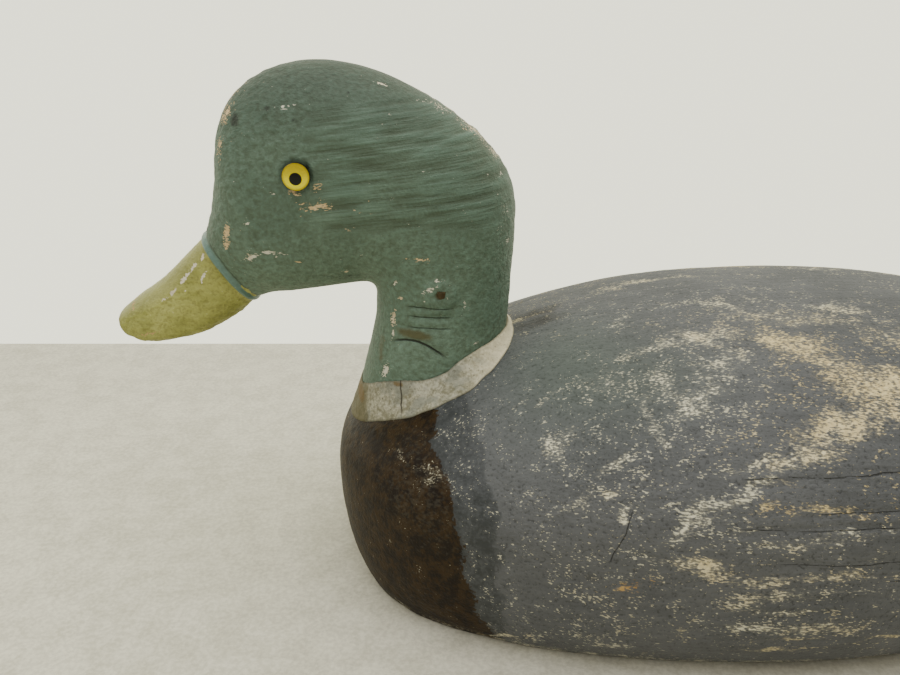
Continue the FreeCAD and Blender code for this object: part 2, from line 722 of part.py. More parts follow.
top_blank = shared("top_blank", body_form, upper_room)
body_top = cut("body_top", top_blank, [hollow, seat_cutter, neck_bore, neck_nails, seam_nail_group, seam_bores])

# --- lead pad -----------------------------------------------------------------------------------------------------


def rounded_pad(name, length, width, height, corner, place):
    """A padded rectangle centred on its own origin, with its upright edges rounded."""
    body = doc.addObject("PartDesign::Body", name)
    sketch = body.newObject("Sketcher::SketchObject", name + "_outline")
    on_plane(body, sketch, "XY_Plane")
    corners = [Vector(-1, -1, 0), Vector(1, -1, 0), Vector(1, 1, 0), Vector(-1, 1, 0)]
    for here, there in zip(corners, corners[1:] + corners[:1]):
        sketch.addGeometry(Part.LineSegment(here, there))
    for i in range(4):
        sketch.addConstraint(Sketcher.Constraint("Coincident", i, 2, (i + 1) % 4, 1))
    for i in (0, 2):
        sketch.addConstraint(Sketcher.Constraint("Horizontal", i))
        sketch.addConstraint(Sketcher.Constraint("Vertical", i + 1))
    sketch.addConstraint(Sketcher.Constraint("Symmetric", 0, 1, 2, 1, -1, 1))
    for line, expression in ((0, length), (1, width)):
        mark = sketch.addConstraint(Sketcher.Constraint("Distance", line, 2.0))
        sketch.setExpression(f"Constraints[{mark}]", expression)
    pad = body.newObject("PartDesign::Pad", name + "_pad")
    pad.Profile = sketch
    bind(pad, Length=height)
    doc.recompute()
    rounds = body.newObject("PartDesign::Fillet", name + "_corners")
    upright = [e for e in range(len(pad.Shape.Edges)) if abs(pad.Shape.Edges[e].tangentAt(0).z) > 0.9]
    rounds.Base = (pad, [f"Edge{e + 1}" for e in upright])
    bind(rounds, Radius=corner)
    body.Placement = place
    return body


def flat_screw(name, x):
    """A flat-head wood screw that points up, with its slotted head at the face of the lead pad."""
    head = solid(
        "Cone",
        name + "_head",
        Radius1="sizes.screw_head_radius",
        Radius2="sizes.screw_radius",
        Height="sizes.screw_head_height",
    )
    shank = solid(
        "Cylinder", name + "_shank", Radius="sizes.screw_radius", Height="sizes.screw_length - sizes.screw_point"
    )
    point = solid(
        "Cone",
        name + "_point",
        Radius1="sizes.screw_radius",
        Radius2="sizes.blunt_radius",
        Height="sizes.screw_point",
        Placement__Base__z="sizes.screw_length - sizes.screw_point",
    )
    whole = joined(name + "_whole", [head, shank, point])
    whole.Placement = Placement(Vector(x, 0, size("weight_inset")), Rotation())
    slot = solid(
        "Box",
        name + "_slot",
        Placement(Vector(x - size("slot_width") / 2, -size("screw_head_radius"), size("weight_inset")), Rotation()),
        Length="sizes.slot_width",
        Width="2 * sizes.screw_head_radius",
        Height="sizes.slot_depth",
    )
    return whole, cut(name, whole, [slot])


screw_places = [size("weight_place") + side * size("screw_spacing") / 2 for side in (-1, 1)]
screw_pairs = [flat_screw(f"screw_{i}", x) for i, x in enumerate(screw_places, 1)]
ballast_screws = group("ballast_screws", [made for _, made in screw_pairs])
weight_base = Placement(Vector(size("weight_place"), 0, size("weight_inset")), Rotation())
weight_blank = rounded_pad(
    "weight_blank",
    "sizes.weight_length",
    "sizes.weight_width",
    "sizes.weight_thickness",
    "sizes.weight_corner",
    weight_base,
)
screw_bores = group("screw_bores", [whole for whole, _ in screw_pairs])
ballast_weight = cut("ballast_weight", weight_blank, [screw_bores])
recess = rounded_pad(
    "weight_recess",
    "sizes.weight_length",
    "sizes.weight_width",
    f"sizes.weight_thickness + sizes.weight_inset + {CLEAR}",
    "sizes.weight_corner",
    Placement(Vector(size("weight_place"), 0, -CLEAR), Rotation()),
)

# --- line tie -----------------------------------------------------------------------------------------------------

tie_x = size("breast_front") + size("tie_place")
bend_z = size("staple_foot") + size("staple_radius") + size("staple_bend")
pivot_z = size("staple_foot") + 2 * size("staple_radius") + size("ring_play") + size("ring_wire")
end_z = size("ring_wire") + size("ring_floor")
ring_tilt = math.degrees(math.asin((pivot_z - end_z) / (2 * size("ring_radius"))))

bend = solid(
    "Torus",
    "staple_bend_half",
    Placement(Vector(tie_x, 0, bend_z), Rotation(Vector(1, 0, 0), -90)),
    Radius1="sizes.staple_bend",
    Radius2="sizes.staple_radius",
    Angle3="180",
)
legs = []
leg_length = "sizes.pocket_depth - sizes.staple_foot - sizes.staple_radius - sizes.staple_bend + sizes.staple_grip"
for word, side in (("front", -1), ("back", 1)):
    base = Placement(Vector(tie_x + side * size("staple_bend"), 0, bend_z), Rotation())
    leg = solid("Cylinder", f"staple_leg_{word}", base, Radius="sizes.staple_radius", Height=leg_length)
    point = solid(
        "Cone",
        f"staple_point_{word}",
        base,
        Radius1="sizes.staple_radius",
        Radius2="sizes.blunt_radius",
        Height="sizes.staple_point",
        Placement__Base__z="sizes.pocket_depth + sizes.staple_grip",
    )
    legs += [leg, point]
line_staple = joined("line_staple", [bend] + legs)

tilt = Rotation(Vector(0, 1, 0), ring_tilt)
ring_middle = Vector(tie_x, 0, pivot_z) + tilt.multVec(Vector(size("ring_radius"), 0, 0))
line_ring = solid(
    "Torus", "line_ring", Placement(ring_middle, tilt), Radius1="sizes.ring_radius", Radius2="sizes.ring_wire"
)

pocket_back = tie_x + 2 * size("ring_radius") + size("ring_wire") + size("pocket_end")
pocket_front = tie_x - size("pocket_ahead")
pocket_length = "(sizes.pocket_ahead + 2 * sizes.ring_radius + sizes.ring_wire + sizes.pocket_end)"
pocket = rounded_pad(
    "tie_pocket",
    pocket_length,
    "2 * (sizes.ring_radius + sizes.ring_wire + sizes.pocket_side)",
    f"sizes.pocket_depth + {CLEAR}",
    "sizes.pocket_corner",
    Placement(Vector((pocket_back + pocket_front) / 2, 0, -CLEAR), Rotation()),
)

bottom_blank = shared("bottom_blank", body_form, lower_room)
body_bottom = cut(
    "body_bottom",
    bottom_blank,
    [hollow, recess, pocket, line_staple, screw_bores, seam_nail_group, nail_putty, seam_bores],
)

# --- finish -------------------------------------------------------------------------------------------------------

NODES = [body_top, body_bottom, head_block, bill, neck_filler, neck_dowel, bill_dowel, neck_nails]
NODES += eyes["left"] + eyes["right"]
NODES += [ballast_weight, ballast_screws, line_staple, line_ring, seam_nail_group, seam_pin_group, nail_putty]

doc.recompute()
for item in doc.Objects:
    if "Invalid" in item.State or "Error" in item.State:
        raise RuntimeError(f"{item.Label} failed: {item.State} {item.getStatusString()}")
os.makedirs("parts", exist_ok=True)
for node in NODES:
    shape = node.Shape
    if shape.isNull() or not shape.isValid() or not shape.Solids:
        raise RuntimeError(f"{node.Label} has no valid solid")
for node in NODES:
    shape = node.Shape
    shape.exportStep(os.path.join("parts", node.Label + ".step"))
    print(f"{node.Label}: {len(shape.Solids)} solid(s), {shape.Volume / 1000:.2f} cm3")
print(f"ring tilt {ring_tilt:.2f} degrees, pivot at x {tie_x:.2f}, z {pivot_z:.2f}")
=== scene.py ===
import math

import bmesh
import bpy
import numpy as np
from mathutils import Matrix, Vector


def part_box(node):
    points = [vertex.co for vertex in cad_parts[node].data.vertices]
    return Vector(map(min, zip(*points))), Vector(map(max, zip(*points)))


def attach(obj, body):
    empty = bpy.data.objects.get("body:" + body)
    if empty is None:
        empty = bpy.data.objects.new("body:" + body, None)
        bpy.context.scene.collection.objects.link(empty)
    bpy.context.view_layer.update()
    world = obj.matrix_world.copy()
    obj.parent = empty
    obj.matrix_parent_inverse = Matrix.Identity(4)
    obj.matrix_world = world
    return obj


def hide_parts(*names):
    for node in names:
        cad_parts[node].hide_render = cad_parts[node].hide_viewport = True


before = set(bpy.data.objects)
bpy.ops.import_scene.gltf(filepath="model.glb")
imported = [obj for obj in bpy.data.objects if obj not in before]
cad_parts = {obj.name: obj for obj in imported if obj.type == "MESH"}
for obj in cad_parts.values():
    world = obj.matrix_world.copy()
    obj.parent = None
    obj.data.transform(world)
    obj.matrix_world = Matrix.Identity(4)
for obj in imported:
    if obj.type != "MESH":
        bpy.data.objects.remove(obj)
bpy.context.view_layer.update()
print("frame loaded:", len(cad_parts), "nodes")

# Everything below is in millimetres until a mesh is made.
mm = 0.001


def boxOf(*nodes):  # lowest and highest corners of several nodes together, in millimetres
    corners = np.array([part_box(node) for node in nodes]) / mm
    return corners[:, 0].min(axis=0), corners[:, 1].max(axis=0)


# shape tools


def splineAt(rows, lengths, at):
    # natural cubic spline: straight blend of two rows plus (a^3 - a) and (b^3 - b) times their bends
    rows = np.asarray(rows, float)
    gaps = np.diff(lengths)
    count = len(lengths)
    system = np.eye(count)
    right = np.zeros(rows.shape)
    for i in range(1, count - 1):
        system[i, i - 1:i + 2] = gaps[i - 1], 2 * (gaps[i - 1] + gaps[i]), gaps[i]
        right[i] = 6 * ((rows[i + 1] - rows[i]) / gaps[i] - (rows[i] - rows[i - 1]) / gaps[i - 1])
    bends = np.linalg.solve(system, right)
    k = np.clip(np.searchsorted(lengths, at) - 1, 0, count - 2)
    a = ((lengths[k + 1] - at) / gaps[k])[..., None]
    b = 1 - a
    gap = gaps[k][..., None]
    return a * rows[k] + b * rows[k + 1] + ((a**3 - a) * bends[k] + (b**3 - b) * bends[k + 1]) * gap**2 / 6


def runningLengths(points):
    return np.concatenate([[0.0], np.cumsum(np.linalg.norm(np.diff(points, axis=0), axis=1))])


def signedPower(value, power):
    return np.sign(value) * np.abs(value) ** power


def fullTurn(count):  # evenly spaced angles round a circle
    return np.linspace(0, 2 * math.pi, count, endpoint=False)


def smooth(value, low, high):  # 0 below low, 1 above high, 3t^2 - 2t^3 between
    t = np.clip((value - low) / (high - low), 0, 1)
    return t * t * (3 - 2 * t)


def blob(along, across, centre, size, turn=0.0):
    # 1 in the middle of a turned ellipse, falling off as exp(-r^2)
    a, c = along - centre[0], across - centre[1]
    cosTurn, sinTurn = math.cos(math.radians(turn)), math.sin(math.radians(turn))
    u = (a * cosTurn + c * sinTurn) / size[0]
    v = (c * cosTurn - a * sinTurn) / size[1]
    return np.exp(-(u * u + v * v))


def marksOn(marks, along, across):
    # strongest of several blobs, each centre, half sizes, turn, strength, hue; the hue is their weighted mean
    strongest = np.zeros(along.shape)
    weight = np.full(along.shape, 1e-6)
    hues = np.zeros(along.shape)
    for a, c, long, wide, turn, strength, *hue in marks:
        value = strength * blob(along, across, (a, c), (long, wide), turn)
        strongest = np.maximum(strongest, value)
        weight += value
        hues += value * (hue or [0])[0]
    return strongest, hues / weight


def strokesOn(strokes, along, across):
    # strength * exp(-(distance to a drawn line / its width)^2), the strongest line wins
    strongest = np.zeros(along.shape)
    for width, strength, points in strokes:
        for (a0, c0), (a1, c1) in zip(points, points[1:]):
            reach = (a1 - a0) ** 2 + (c1 - c0) ** 2
            t = np.clip(((along - a0) * (a1 - a0) + (across - c0) * (c1 - c0)) / reach, 0, 1)
            gap = np.hypot(along - a0 - t * (a1 - a0), across - c0 - t * (c1 - c0))
            strongest = np.maximum(strongest, strength * np.exp(-(gap / width) ** 2))
    return strongest


def roughness(points, cell, seed, octaves=1):
    # random lattice values blended by 6t^5 - 15t^4 + 10t^3, each octave half the size and half the height
    total = 0.0
    for octave in range(octaves):
        q = points / (np.asarray(cell, float) / 2**octave)
        base = np.floor(q).astype(np.int64)
        f = q - base
        f = f**3 * (f * (f * 6 - 15) + 10)
        for corner in range(8):
            step = np.array([corner & 1, corner >> 1 & 1, corner >> 2 & 1])
            k = base + step
            code = (k * [374761393, 668265263, 974711]).sum(axis=-1) + (seed + octave) * 1274126177
            code = code & 0xFFFFFFFF
            code = ((code ^ (code >> 13)) * 1103515245) & 0xFFFFFFFF
            code = ((code ^ (code >> 15)) * 2246822519) & 0xFFFFFFFF
            value = ((code ^ (code >> 16)) & 0xFFFFFF) / 0xFFFFFF * 2 - 1
            weight = np.prod(np.where(step == 1, f, 1 - f), axis=-1)
            total = total + value * weight / 2**octave
    return total


def gridNormals(grid, closed=True):  # cross product of the two grid directions, unit length
    across = np.roll(grid, -1, axis=1) - np.roll(grid, 1, axis=1) if closed else np.gradient(grid, axis=1)
    along = np.gradient(grid, axis=0)
    normal = np.cross(across, along)
    return normal / np.maximum(np.linalg.norm(normal, axis=2, keepdims=True), 1e-9)


def pushedOut(grid, centre, height, closed=True):  # each point moved along its normal, away from the centre
    normal = gridNormals(grid, closed)
    away = np.sign(np.median(((grid - centre) * normal).sum(axis=-1)))
    return grid + normal * away * height[..., None]


def loopFaces(rows, cols, wrapRows):  # quads between neighbouring rows of closed loops
    r, c = np.meshgrid(np.arange(rows if wrapRows else rows - 1), np.arange(cols), indexing="ij")
    here, right = r * cols + c, r * cols + (c + 1) % cols
    above, aboveRight = (r + 1) % rows * cols + c, (r + 1) % rows * cols + (c + 1) % cols
    return np.stack([here, right, aboveRight, above], axis=-1).reshape(-1, 4).tolist()


def endFans(rows, cols):  # a fan of triangles to the middle of the first and of the last loop
    c = np.arange(cols)
    last = (rows - 1) * cols
    first = np.stack([np.full(cols, rows * cols), (c + 1) % cols, c], axis=-1)
    second = np.stack([np.full(cols, rows * cols + 1), last + c, last + (c + 1) % cols], axis=-1)
    return first.tolist() + second.tolist()


def makePiece(name, grid, masks, replaced, finish, ring=False, smoothAngle=50):
    # a grid of closed loops becomes a closed mesh: a ring wraps round both ways, anything else gets end fans
    rows, cols = grid.shape[:2]
    points = grid.reshape(-1, 3)
    faces = loopFaces(rows, cols, ring)
    if not ring:
        points = np.concatenate([points, [grid[0].mean(axis=0), grid[-1].mean(axis=0)]])
        faces += endFans(rows, cols)
    mesh = bpy.data.meshes.new(name)
    mesh.from_pydata((points * mm).tolist(), [], faces)
    for mask, values in masks.items():
        values = np.broadcast_to(values, (rows, cols))
        flat = values.ravel()
        if not ring:
            flat = np.concatenate([flat, [values[0].mean(), values[-1].mean()]])
        mesh.attributes.new(mask, "FLOAT", "POINT").data.foreach_set("value", flat)
    tidy = bmesh.new()
    tidy.from_mesh(mesh)
    bmesh.ops.remove_doubles(tidy, verts=tidy.verts, dist=0.004 * mm)
    bmesh.ops.recalc_face_normals(tidy, faces=tidy.faces)
    tidy.to_mesh(mesh)
    tidy.free()
    mesh.polygons.foreach_set("use_smooth", [True] * len(mesh.polygons))
    mesh.set_sharp_from_angle(angle=math.radians(smoothAngle))
    mesh.materials.append(finish)
    piece = bpy.data.objects.new(name, mesh)
    bpy.context.scene.collection.objects.link(piece)
    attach(piece, "decoy")
    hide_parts(*replaced)
    print(name, "made:", len(mesh.polygons), "faces")
    return piece


# finish tools


class Signal:  # a socket's value; each sign adds one Math node
    def __init__(self, graph, socket):
        self.graph = graph
        self.socket = socket

    def maths(self, operation, *values):
        return self.graph.node("ShaderNodeMath", {"operation": operation}, dict(enumerate(values)))

    def __add__(self, other):
        return self.maths("ADD", self, other)

    def __sub__(self, other):
        return self.maths("SUBTRACT", self, other)

    def __rsub__(self, other):
        return self.maths("SUBTRACT", other, self)

    def __mul__(self, other):
        return self.maths("MULTIPLY", self, other)

    def largest(self, other):
        return self.maths("MAXIMUM", self, other)

    def size(self):
        return self.maths("ABSOLUTE", self)

    __radd__ = __add__
    __rmul__ = __mul__


class Graph:  # one tree of nodes, all made by node()
    def __init__(self, tree):
        self.tree = tree

    def node(self, kind, settings, sockets, output=0):
        made = self.tree.nodes.new(kind)
        for name, value in settings.items():
            setattr(made, name, value)
        for name, value in sockets.items():
            if isinstance(value, Signal):
                self.tree.links.new(value.socket, made.inputs[name])
            else:
                made.inputs[name].default_value = value
        return Signal(self, made.outputs[output])

    def step(self, value, low, high):  # 0 at low, 1 at high, eased at both ends
        sockets = {"Value": value, "From Min": low, "From Max": high}
        return self.node("ShaderNodeMapRange", {"interpolation_type": "SMOOTHSTEP"}, sockets)

    def mix(self, factor, one, other):
        one, other = ((*c, 1) if isinstance(c, tuple) else c for c in (one, other))
        return self.node("ShaderNodeMix", {"data_type": "RGBA"}, {0: factor, 6: one, 7: other}, output=2)


class Finish(Graph):  # a Principled shader, its place in millimetres, two clouds, its colour so far
    def __init__(self, name, constants, fine=None, mid=None):
        self.material = bpy.data.materials.new(name)
        self.material.use_nodes = True
        super().__init__(self.material.node_tree)
        self.shader = self.tree.nodes["Principled BSDF"]
        for socket, value in constants.items():
            self.shader.inputs[socket].default_value = value
        metres = self.node("ShaderNodeTexCoord", {}, {}, output=3)
        self.place = self.node("ShaderNodeVectorMath", {"operation": "SCALE"}, {0: metres, "Scale": 1 / mm})
        parts = (self.node("ShaderNodeSeparateXYZ", {}, {0: self.place}, output=i) for i in range(3))
        self.x, self.y, self.z = parts
        self.fine, self.mid = (cloud and self.noise(*cloud) for cloud in (fine, mid))
        self.colour = None

    def cover(self, amount, colour):  # lays a colour over the colour so far
        self.colour = self.mix(amount, self.colour, colour)

    def tint(self, colour, value):  # colour times a number near 1
        return self.node("ShaderNodeVectorMath", {"operation": "SCALE"}, {0: colour, "Scale": value})

    def noise(self, cell, seed, detail=3.0, rough=0.55, turn=0.0):
        # cloud noise with this cell size in millimetres, or one for each axis; they can turn in the side view
        sockets = {0: self.place, 1: (seed * 37.0,) * 3, 2: (0, math.radians(turn), 0)}
        sockets[3] = tuple(np.broadcast_to(np.asarray(cell, float), 3))
        spot = self.node("ShaderNodeMapping", {"vector_type": "TEXTURE"}, sockets)
        sockets = {"Vector": spot, "Scale": 1.0, "Detail": detail, "Roughness": rough}
        return self.node("ShaderNodeTexNoise", {}, sockets)

    def mask(self, name):
        return self.node("ShaderNodeAttribute", {"attribute_name": name}, {}, output=2)

    def rough(self, value, mid, fine=0.0):  # a value, or the mask of that name, plus shares of the two clouds
        value = self.mask(value) if isinstance(value, str) else value
        for cloud, share in ((self.mid, mid), (self.fine, fine)):
            value = value + (cloud - 0.5) * share if share else value
        return value

    def line(self, gap, half, along, start, end):
        # 1 where the gap to a drawn line is under half its width, fading out at both of its ends
        ends = self.step(along, start, start + 4) * self.step(along, end, end - 4)
        return self.step(gap.size(), half, half * 0.3) * ends

    def put(self, colour, **values):  # the colour and any of roughness, metallic, coat
        names = {"roughness": "Roughness", "metallic": "Metallic", "coat": "Coat Weight"}
        self.tree.links.new(colour.socket, self.shader.inputs["Base Color"])
        for name, value in values.items():
            self.tree.links.new(value.socket, self.shader.inputs[names[name]])

    def relief(self, *layers):  # bump layers, each a height from 0 to 1 and its depth in millimetres
        normal = None
        for height, depth in layers:
            sockets = {"Height": height, "Distance": depth * mm, "Strength": 1.0}
            if normal:
                sockets["Normal"] = normal
            normal = self.node("ShaderNodeBump", {}, sockets)
        self.tree.links.new(normal.socket, self.shader.inputs["Normal"])
        return self.material


# body: stations in percent of its length, width and height, as it was carved
# run, half width, height of the widest point, top, bottom (below zero it is sawn off flat)

body = {
    "breastRun": 68.0,
    "breast": [
        (0.0, 0.0, 35.8, 35.8, 35.8),
        (1.5, 16.0, 35.3, 46.3, 22.1),
        (8.1, 33.3, 34.2, 55.8, 6.3),
        (21.3, 51.3, 34.2, 63.7, -7.4),
        (39.7, 66.7, 35.8, 71.1, -13.7),
        (66.2, 80.1, 38.9, 79.8, -15.8),
        (100.0, 91.0, 42.1, 88.0, -16.3),
    ],
    "back": [
        (11.7, 98.1, 44.7, 95.8, -16.3),
        (25.3, 100.0, 45.8, 99.6, -16.3),
        (40.9, 94.9, 46.3, 100.0, -15.3),
        (56.4, 80.1, 47.4, 94.4, -11.6),
        (72.0, 57.7, 49.5, 82.2, 1.1),
        (85.6, 38.5, 55.3, 71.6, 28.4),
        (94.6, 29.5, 61.1, 70.0, 50.5),
        (98.6, 22.4, 65.3, 70.5, 60.0),
        (100.0, 0.0, 67.0, 67.0, 67.0),
    ],
    "upperPower": 2.15,
    "lowerPower": 2.9,
    "rows": 330,
    "arc": 250,  # points over the visible arc of a section
    "cap": 14,  # points across the glued face
    "inset": 0.35,  # keeps the carved texture inside the block it was carved from
    "endFade": (1.0, 14.0),  # half widths between which the texture dies away at both ends
    "bottomLift": 0.06,  # sawn bottom above the nail fillings
    "sawn": 0.12,  # depth of the saw's marks
    "weightCorner": 4.0,
    # height and x of the breast's hind edge and of the strip's
    "brownEdge": [
        (0, -77), (5, -78), (15, -82.5), (30, -85), (38, -86.5), (46, -89), (53, -92), (60, -94.5), (70, -94),
    ],
    "bandEdge": [(0, -73.5), (24, -75), (51, -76), (56, -78), (61, -81), (69, -84), (75, -86)],
}

# Places on the body are x and girth, the way down over its side from the middle of the back.
# centre x, centre girth, half length, half width, turn, strength, hue from white to tan
bodyWear = [
    (-33, 35, 13, 3, -19, 0.72, 0.4), (-17, 33, 11, 5, 14, 0.80, 0.5), (5, 39, 13, 6, 24, 0.92, 1),
    (17, 48, 11, 4.5, 40, 0.72, 0.8), (30, 60, 20, 9, -8, 0.92, 0.8), (12, 67, 17, 5.5, -14, 0.86, 0.7),
    (0, 75, 11, 3.2, -12, 0.86, 0.6), (30, 55, 22, 6.5, 4, 1.1, 0.9), (50, 56, 20, 10, 6, 0.86, 0.9),
    (-15, 45, 14, 9, -20, 0.50, 0.3), (-30, 50, 12, 8, 60, 0.50, 0.2), (-45, 46, 14, 6, 20, 0.42, 0.2),
    (10, 27, 34, 6, 8, 0.50, 0.6), (-10, 14, 30, 4, 6, 0.42, 0.4), (45, 36, 20, 10, 0, 0.62, 0.7),
    (0, 97, 20, 2.6, -4, 0.50, 0.4), (-6, 113, 16, 3.6, 0, 0.56, 0.4), (8, 126, 18, 4, 0, 0.56, 0.5),
    (-7, 17, 11, 3, 28, 0.66, 0.4), (24, 21, 14, 3.2, 18, 0.66, 0.4), (-38, 19, 5, 2.2, -25, 0.66, 0.2),
    (-36, 60, 10, 2, 70, 0.74, 0.1), (-25, 57, 8, 5, -20, 0.7, 0.2), (-18, 53, 5, 3, 10, 0.64, 0.2),
    (-46, 70, 6, 2.2, -8, 0.7, 0.2), (-61, 61, 4, 3.2, 30, 0.68, 0.1), (-62, 44, 4, 0.9, -22, 0.7, 0),
    (-70, 43, 4, 0.8, -25, 0.6, 0), (-12, 75, 10, 1.8, -16, 0.66, 0.3), (-55, 77, 7, 2.2, -25, 0.62, 0.1),
    (-47, 78, 1.9, 1, 0, 1.2, 0.5), (-43, 83, 1.7, 2.3, 0, 1.2, 0.1), (-13, 82, 9, 1.8, -20, 0.9, 0.2),
    (-27, 88, 9, 3.4, -36, 0.92, 0.1), (-5, 82, 5, 0.8, -3, 0.9, 0.9), (-9.5, 87, 5, 0.7, 0, 0.92, 1),
    (6, 88.6, 10, 1.3, 3, 1, 1), (-13, 92.6, 8, 0.6, 2, 0.76, 0.2), (14, 94, 16, 0.6, 0, 0.8, 0.1),
    (-24, 103, 11, 2.6, 30, 0.94, 0.6), (-10, 108.5, 8, 1.6, -3, 0.84, 0.6),
    (9, 107.7, 13, 1.1, -3, 0.88, 0.6), (-37, 97, 6, 1.7, 10, 0.66, 0.3),
    (-43, 105, 2.8, 1.1, 8, 1.1, 1.35), (-12, 116, 6, 2.6, 10, 0.7, 0.5), (0, 118, 10, 0.7, 0, 0.78, 0.4),
    (-9, 123.5, 7, 2.2, 6, 0.86, 0.2), (2, 130, 11, 1, 0, 0.74, 0.7), (4, 124, 13, 0.6, 0, 0.66, 0.3),
    (14, 112, 12, 0.6, 0, 0.6, 0.3), (-45, 128, 7, 1.8, 8, 0.66, 0.3), (-2, 135, 12, 0.9, 0, 0.78, 0.7),
    (27, 131, 13, 0.8, -5, 0.76, 0.7), (-76, 121, 3.4, 1, 14, 1.2, 0.5),
    (-105.5, 41.5, 5, 1.3, 48, 0.72, 0), (-95.5, 54, 5, 2.6, 20, 0.68, 0), (-99, 49, 5, 1.6, 50, 0.62, 0),
    (-62, 104, 3, 0.8, -40, 0.6, 0), (66, 50, 22, 3, 8, 0.8, 1), (84, 40, 18, 2.2, 5, 0.76, 0.8),
    (70, 74, 24, 1.6, 3, 0.74, 0.7), (110, 40, 20, 3.5, 0, 0.72, 0.8), (140, 26, 18, 4, 8, 0.78, 0.9),
    (165, 17, 12, 5, 0, 0.74, 1), (50, 92, 20, 1.2, 0, 0.72, 0.6), (96, 70, 18, 2.4, -4, 0.76, 0.7),
    (62, 112, 16, 1.6, -2, 0.76, 0.7), (100, 96, 14, 2, -4, 0.7, 0.6), (196, 6, 3, 20, 0, 0.95, 1),
    (192, 26, 4, 7, 0, 0.9, 1), (70, 8, 20, 3, -6, 0.62, 0.5), (120, 6, 16, 2.4, 0, 0.66, 0.6),
]
bodySpecks = [  # the same, without a hue: how thick the fine specks lie
    (-20, 60, 30, 16, 0, 0.9), (-45, 74, 22, 12, -10, 0.9), (-50, 100, 24, 16, 0, 0.75),
    (-55, 122, 22, 12, 0, 0.9), (-10, 120, 26, 14, 0, 0.8), (20, 50, 34, 22, 0, 1),
    (0, 20, 40, 14, 10, 0.55), (80, 50, 50, 30, 0, 0.8), (-25, 90, 18, 10, -30, 1),
    (-98, 48, 16, 14, 0, 0.5), (140, 30, 40, 30, 0, 0.8), (60, 105, 50, 16, 0, 0.7),
]
bodyDents = [  # width, depth and points of the carved or split lines
    (0.9, 0.3, [(-43, 84), (-44, 89), (-46, 92), (-47, 99)]),
    (0.9, 0.28, [(-16, 81.5), (0, 81), (22, 80), (60, 77), (92, 74)]),
    (0.8, 0.35, [(0, 91), (22, 89), (48, 87)]),
    (0.9, 0.3, [(-18, 93), (0, 94), (24, 93), (70, 88), (110, 78)]),
    (0.8, 0.35, [(-8, 103), (15, 104), (40, 103)]),
    (0.8, 0.3, [(30, 66), (60, 64), (84, 60)]),
    (0.9, 0.34, [(60, 30), (100, 28), (130, 24)]),
    (0.8, 0.3, [(-66, 12), (-44, 10), (-16, 8)]),
]

bodySplits = [  # z, slope, first x, last x
    (57.5, 0.02, 2, 50), (53.4, 0.01, -18, 84), (43.7, 0.02, -8, 30), (76, -0.09, 30, 92),
]
painted = {"IOR": 1.48, "Coat Roughness": 0.25}

bodyLow, bodyHigh = boxOf("body_top", "body_bottom")
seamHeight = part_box("body_top")[0][2] / mm


def bodyStations():
    front, length = bodyLow[0], bodyHigh[0] - bodyLow[0]
    half, high, run = (bodyHigh[1] - bodyLow[1]) / 2, bodyHigh[2], body["breastRun"]
    parts = []
    for table, start, long in ((body["breast"], front, run), (body["back"], front + run, length - run)):
        table = np.array(table) / 100
        heights = table[:, 2:] * high
        parts.append(np.column_stack([start + table[:, 0] * long, table[:, 1] * half, heights]))
    return np.concatenate(parts)


bodyRows = bodyStations()
bodyLengths = runningLengths(bodyRows[:, [0, 1, 3]])


def bodySections(at):  # x, half width, widest height, top, bottom at these lengths
    return [column[:, None] for column in splineAt(bodyRows, bodyLengths, at).T]


def bodyPoints(section, angle):
    # y = w cos^(2/n), z = widest + rise sin^(2/n), with its own power and rise above and below
    x, half, widest, top, bottom = section
    upper = np.sin(angle) >= 0
    power = 2 / np.where(upper, body["upperPower"], body["lowerPower"])
    rise = np.where(upper, top - widest, widest - bottom)
    y = half * signedPower(np.cos(angle), power)
    z = widest + rise * signedPower(np.sin(angle), power)
    return np.stack([np.broadcast_to(x, y.shape), y, z], axis=-1)


def angleAtHeight(section, height):  # the angle where a section reaches a height
    _, _, widest, top, bottom = section
    up = np.clip((height - widest) / np.maximum(top - widest, 1e-6), 0, 1) ** (body["upperPower"] / 2)
    down = np.clip((widest - height) / np.maximum(widest - bottom, 1e-6), 0, 1) ** (body["lowerPower"] / 2)
    return np.where(height >= widest, np.arcsin(up), -np.arcsin(down))


def straight(first, last, count):  # points between two columns of points, without the ends
    share = (np.arange(1, count + 1) / (count + 1))[None, :, None]
    return first[:, None] * (1 - share) + last[:, None] * share


def easedSpread(first, last, count):  # closer together at both ends
    t = np.linspace(0, 1, count)
    return first + (last - first) * (0.55 * (0.5 - 0.5 * np.cos(math.pi * t)) + 0.45 * t)


fine = np.linspace(0, bodyLengths[-1], 4000)
fineSections = bodySections(fine)
fineX = fineSections[0][:, 0]
topReaches = fine[(fineSections[3][:, 0] > seamHeight + 0.3)]
bottomReaches = fine[(fineSections[4][:, 0] < seamHeight - 0.3) & (fine > 1.0)]


def girthOf(grid, first):  # running length down each row from its first point, which has this girth
    steps = np.linalg.norm(np.diff(grid, axis=1), axis=2)
    return first + np.concatenate([np.zeros((len(grid), 1)), np.cumsum(steps, axis=1)], axis=1)


def otherSide(x, girth, y):  # the right side wears in its own way: its marks lie turned end for end
    right = y > 0
    along = np.where(right, 52 - x + 9 * np.sin(x / 23), x)
    return along, np.where(right, girth * 0.93 + 5 * np.sin(x / 17), girth)


